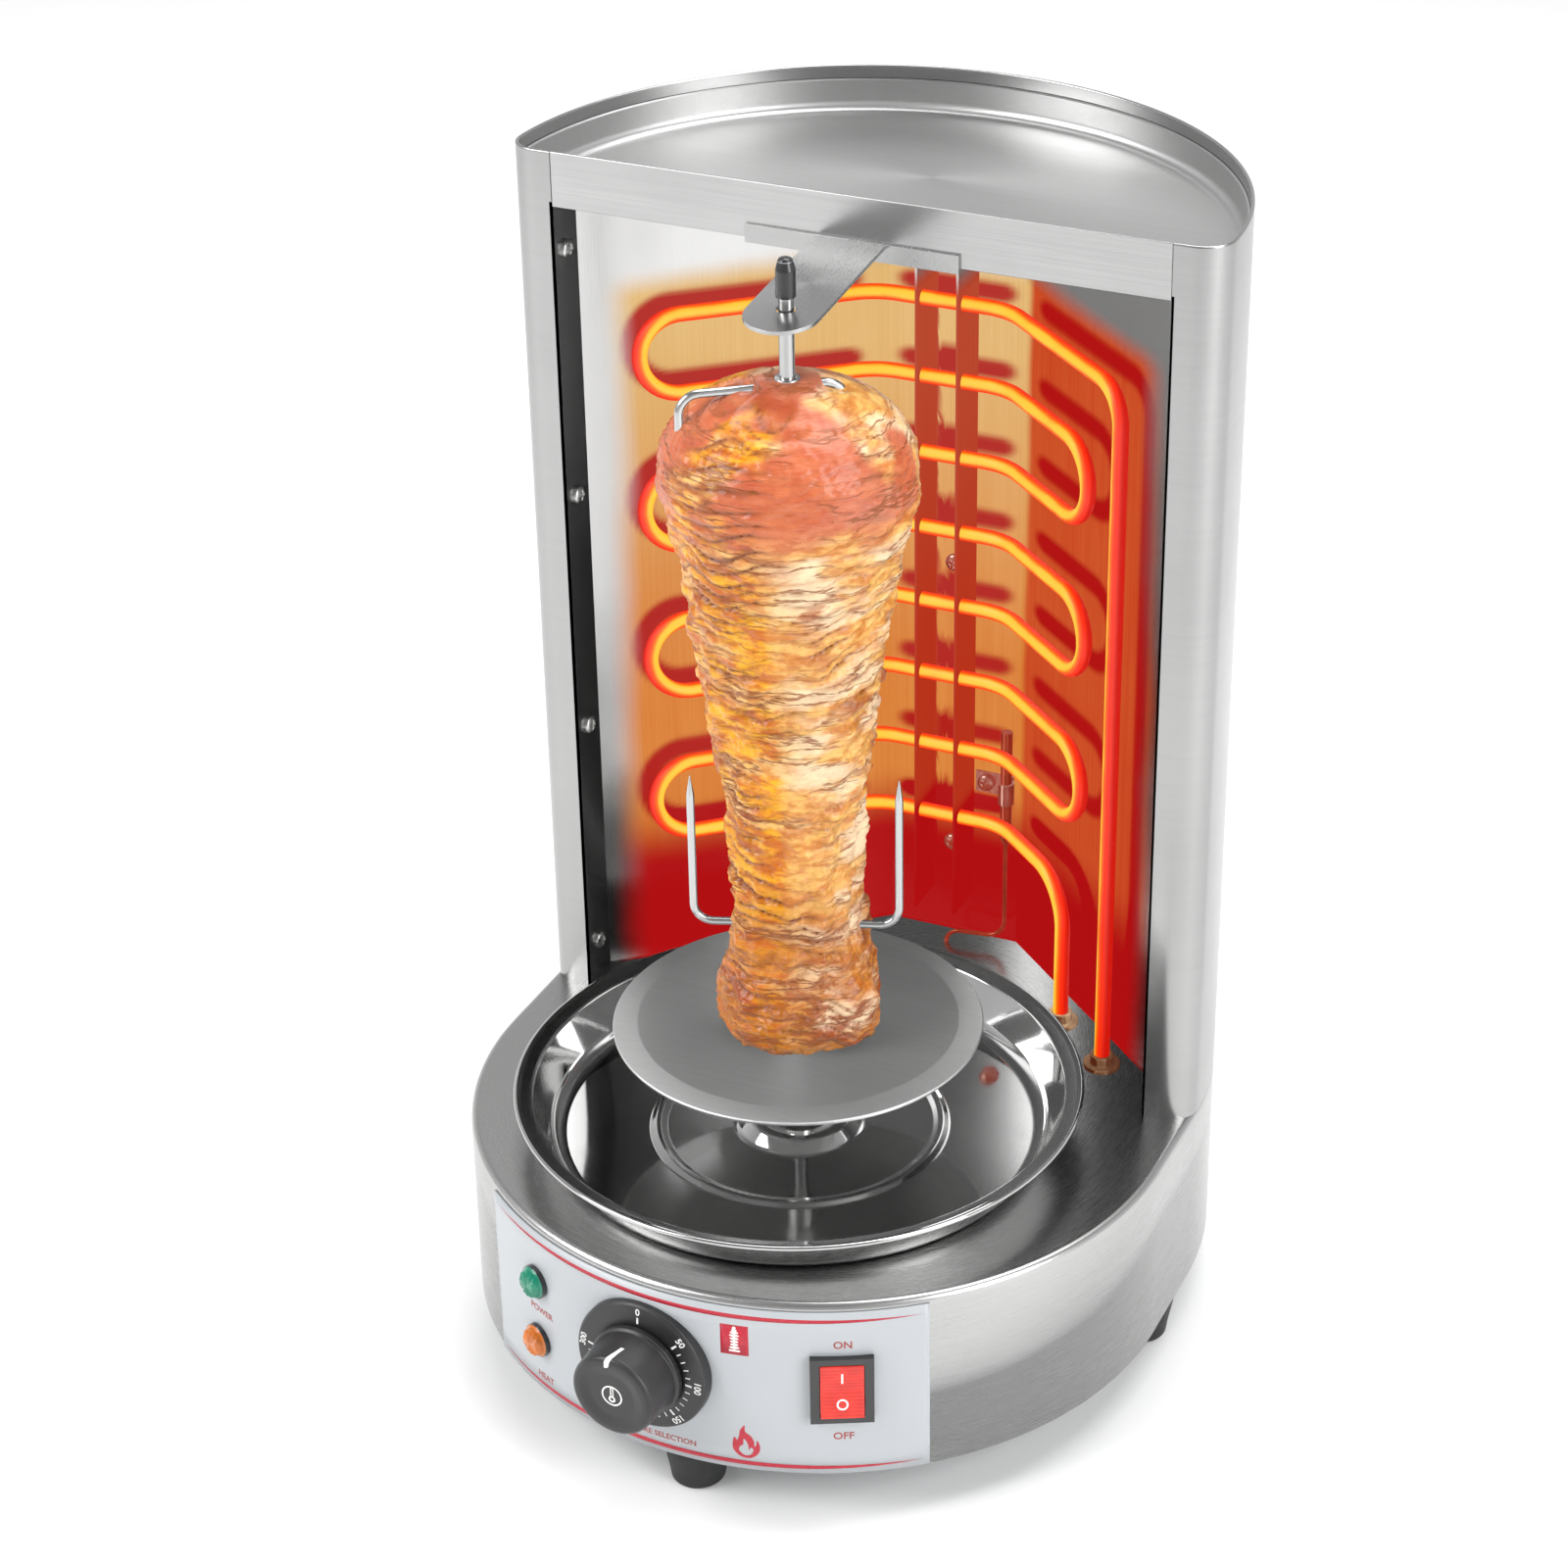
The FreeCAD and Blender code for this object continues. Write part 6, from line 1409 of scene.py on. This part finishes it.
meat_points, meat_deep, meat_browned = meat_surface()
meat_mesh = surface("roast_meat", meat_points, around=True)
for name, values in (("deep", meat_deep), ("browned", meat_browned)):
    kept = meat_mesh.attributes.new(name, "FLOAT", "POINT")
    values = np.clip(values, 0, 1).astype(np.float32).ravel()
    kept.data.foreach_set("value", values[: len(meat_mesh.vertices)])
with edited(meat_mesh) as work:
    bmesh.ops.holes_fill(work, edges=[edge for edge in work.edges if edge.is_boundary], sides=0)
roast_stack = show("roast_meat", meat_mesh, roast(), "spit", "roast_meat", "meat_stack", crease=70)
roast_stack.visible_glossy = False

# ---------------------------------------------------------------------------- spit arm
# A T-shaped strap of brushed sheet welded to the fascia. Its tongue leans down to the spit
# and its round end has the hole that steadies the rod.
arm_steel = brushed_steel("arm_steel", colour(0.39, 0.39, 0.388), 0.26, (1500, 16, 1500), unwrapped=False)
refined("spit_arm", "steady_arm", arm_steel, "brushed_stainless", edge=0.3 * mm)

# ---------------------------------------------------------------------------- floor, light and camera
# A plain pale floor under soft studio light: a bright horizon, a darker ceiling and three
# large soft boxes.


def studio_floor():
    """Matt white paper with faint clouding."""
    tree, shader, material = finish("studio_floor", colour(0.93, 0.93, 0.93), 0.0, 0.6)
    cloud = noise(tree, object_place(tree), 2.0, 2.0)
    feed(tree, shader, Base_Color=between(tree, cloud, colour(0.92, 0.92, 0.92), colour(0.94, 0.94, 0.94)))
    return material


floor_reach, floor_drop = 8.0, 0.0001
steps = np.linspace(-floor_reach, floor_reach, 3)
ground = np.stack(np.meshgrid(steps, steps, [-floor_drop], indexing="ij"), axis=-1)[:, :, 0]
floor_mesh = surface("studio_floor", ground)
floor_mesh.materials.append(studio_floor())
floor_piece = bpy.data.objects.new("studio_floor", floor_mesh)
bpy.context.scene.collection.objects.link(floor_piece)


def soft_box(name, place, target, size, watts):
    """A rectangular lamp at a place, turned to face its target."""
    lamp = bpy.data.lights.new(name, "AREA")
    lamp.shape = "RECTANGLE"
    lamp.size, lamp.size_y = size
    lamp.energy = watts
    light = bpy.data.objects.new(name, lamp)
    light.location = place
    light.rotation_euler = (Vector(target) - Vector(place)).to_track_quat("-Z", "Y").to_euler()
    bpy.context.scene.collection.objects.link(light)


middle = (0, 0, 0.25)
soft_box("key_box", (-1.5, -1.3, 1.7), middle, (1.4, 1.4), 48)
soft_box("side_box", (1.9, -0.6, 1.1), middle, (1.0, 1.6), 32)
soft_box("back_box", (0.2, 0.7, 2.6), middle, (2.4, 1.4), 56)

world = bpy.data.worlds.new("studio")
bpy.context.scene.world = world
world.use_nodes = True
air = world.node_tree
direction = node(air, "ShaderNodeTexCoord").outputs["Generated"]
_, back, up = node(air, "ShaderNodeSeparateXYZ", a=direction).outputs
shade = sums(air, "MULTIPLY", ramp(air, up, 0.05, 0.85, 0.98, 0.4), ramp(air, back, -0.6, 0.4, 0.75, 1.0))
sky = node(air, "ShaderNodeCombineColor", a=shade, b=shade, c=shade).outputs[0]
backdrop = air.nodes["Background"]
air.links.new(sky, backdrop.inputs["Color"])
backdrop.inputs["Strength"].default_value = 0.95

camera_data = bpy.data.cameras.new("camera")
camera_data.lens = 84.51
camera_data.sensor_width = 36
camera_data.shift_x = -0.0795
camera = bpy.data.objects.new("camera", camera_data)
camera.location = (0.5278, -1.1784, 0.9644)
camera.rotation_euler = (math.radians(60.86), 0, math.radians(22.81))
bpy.context.scene.collection.objects.link(camera)
bpy.context.scene.camera = camera
bpy.context.scene.view_settings.view_transform = "Standard"
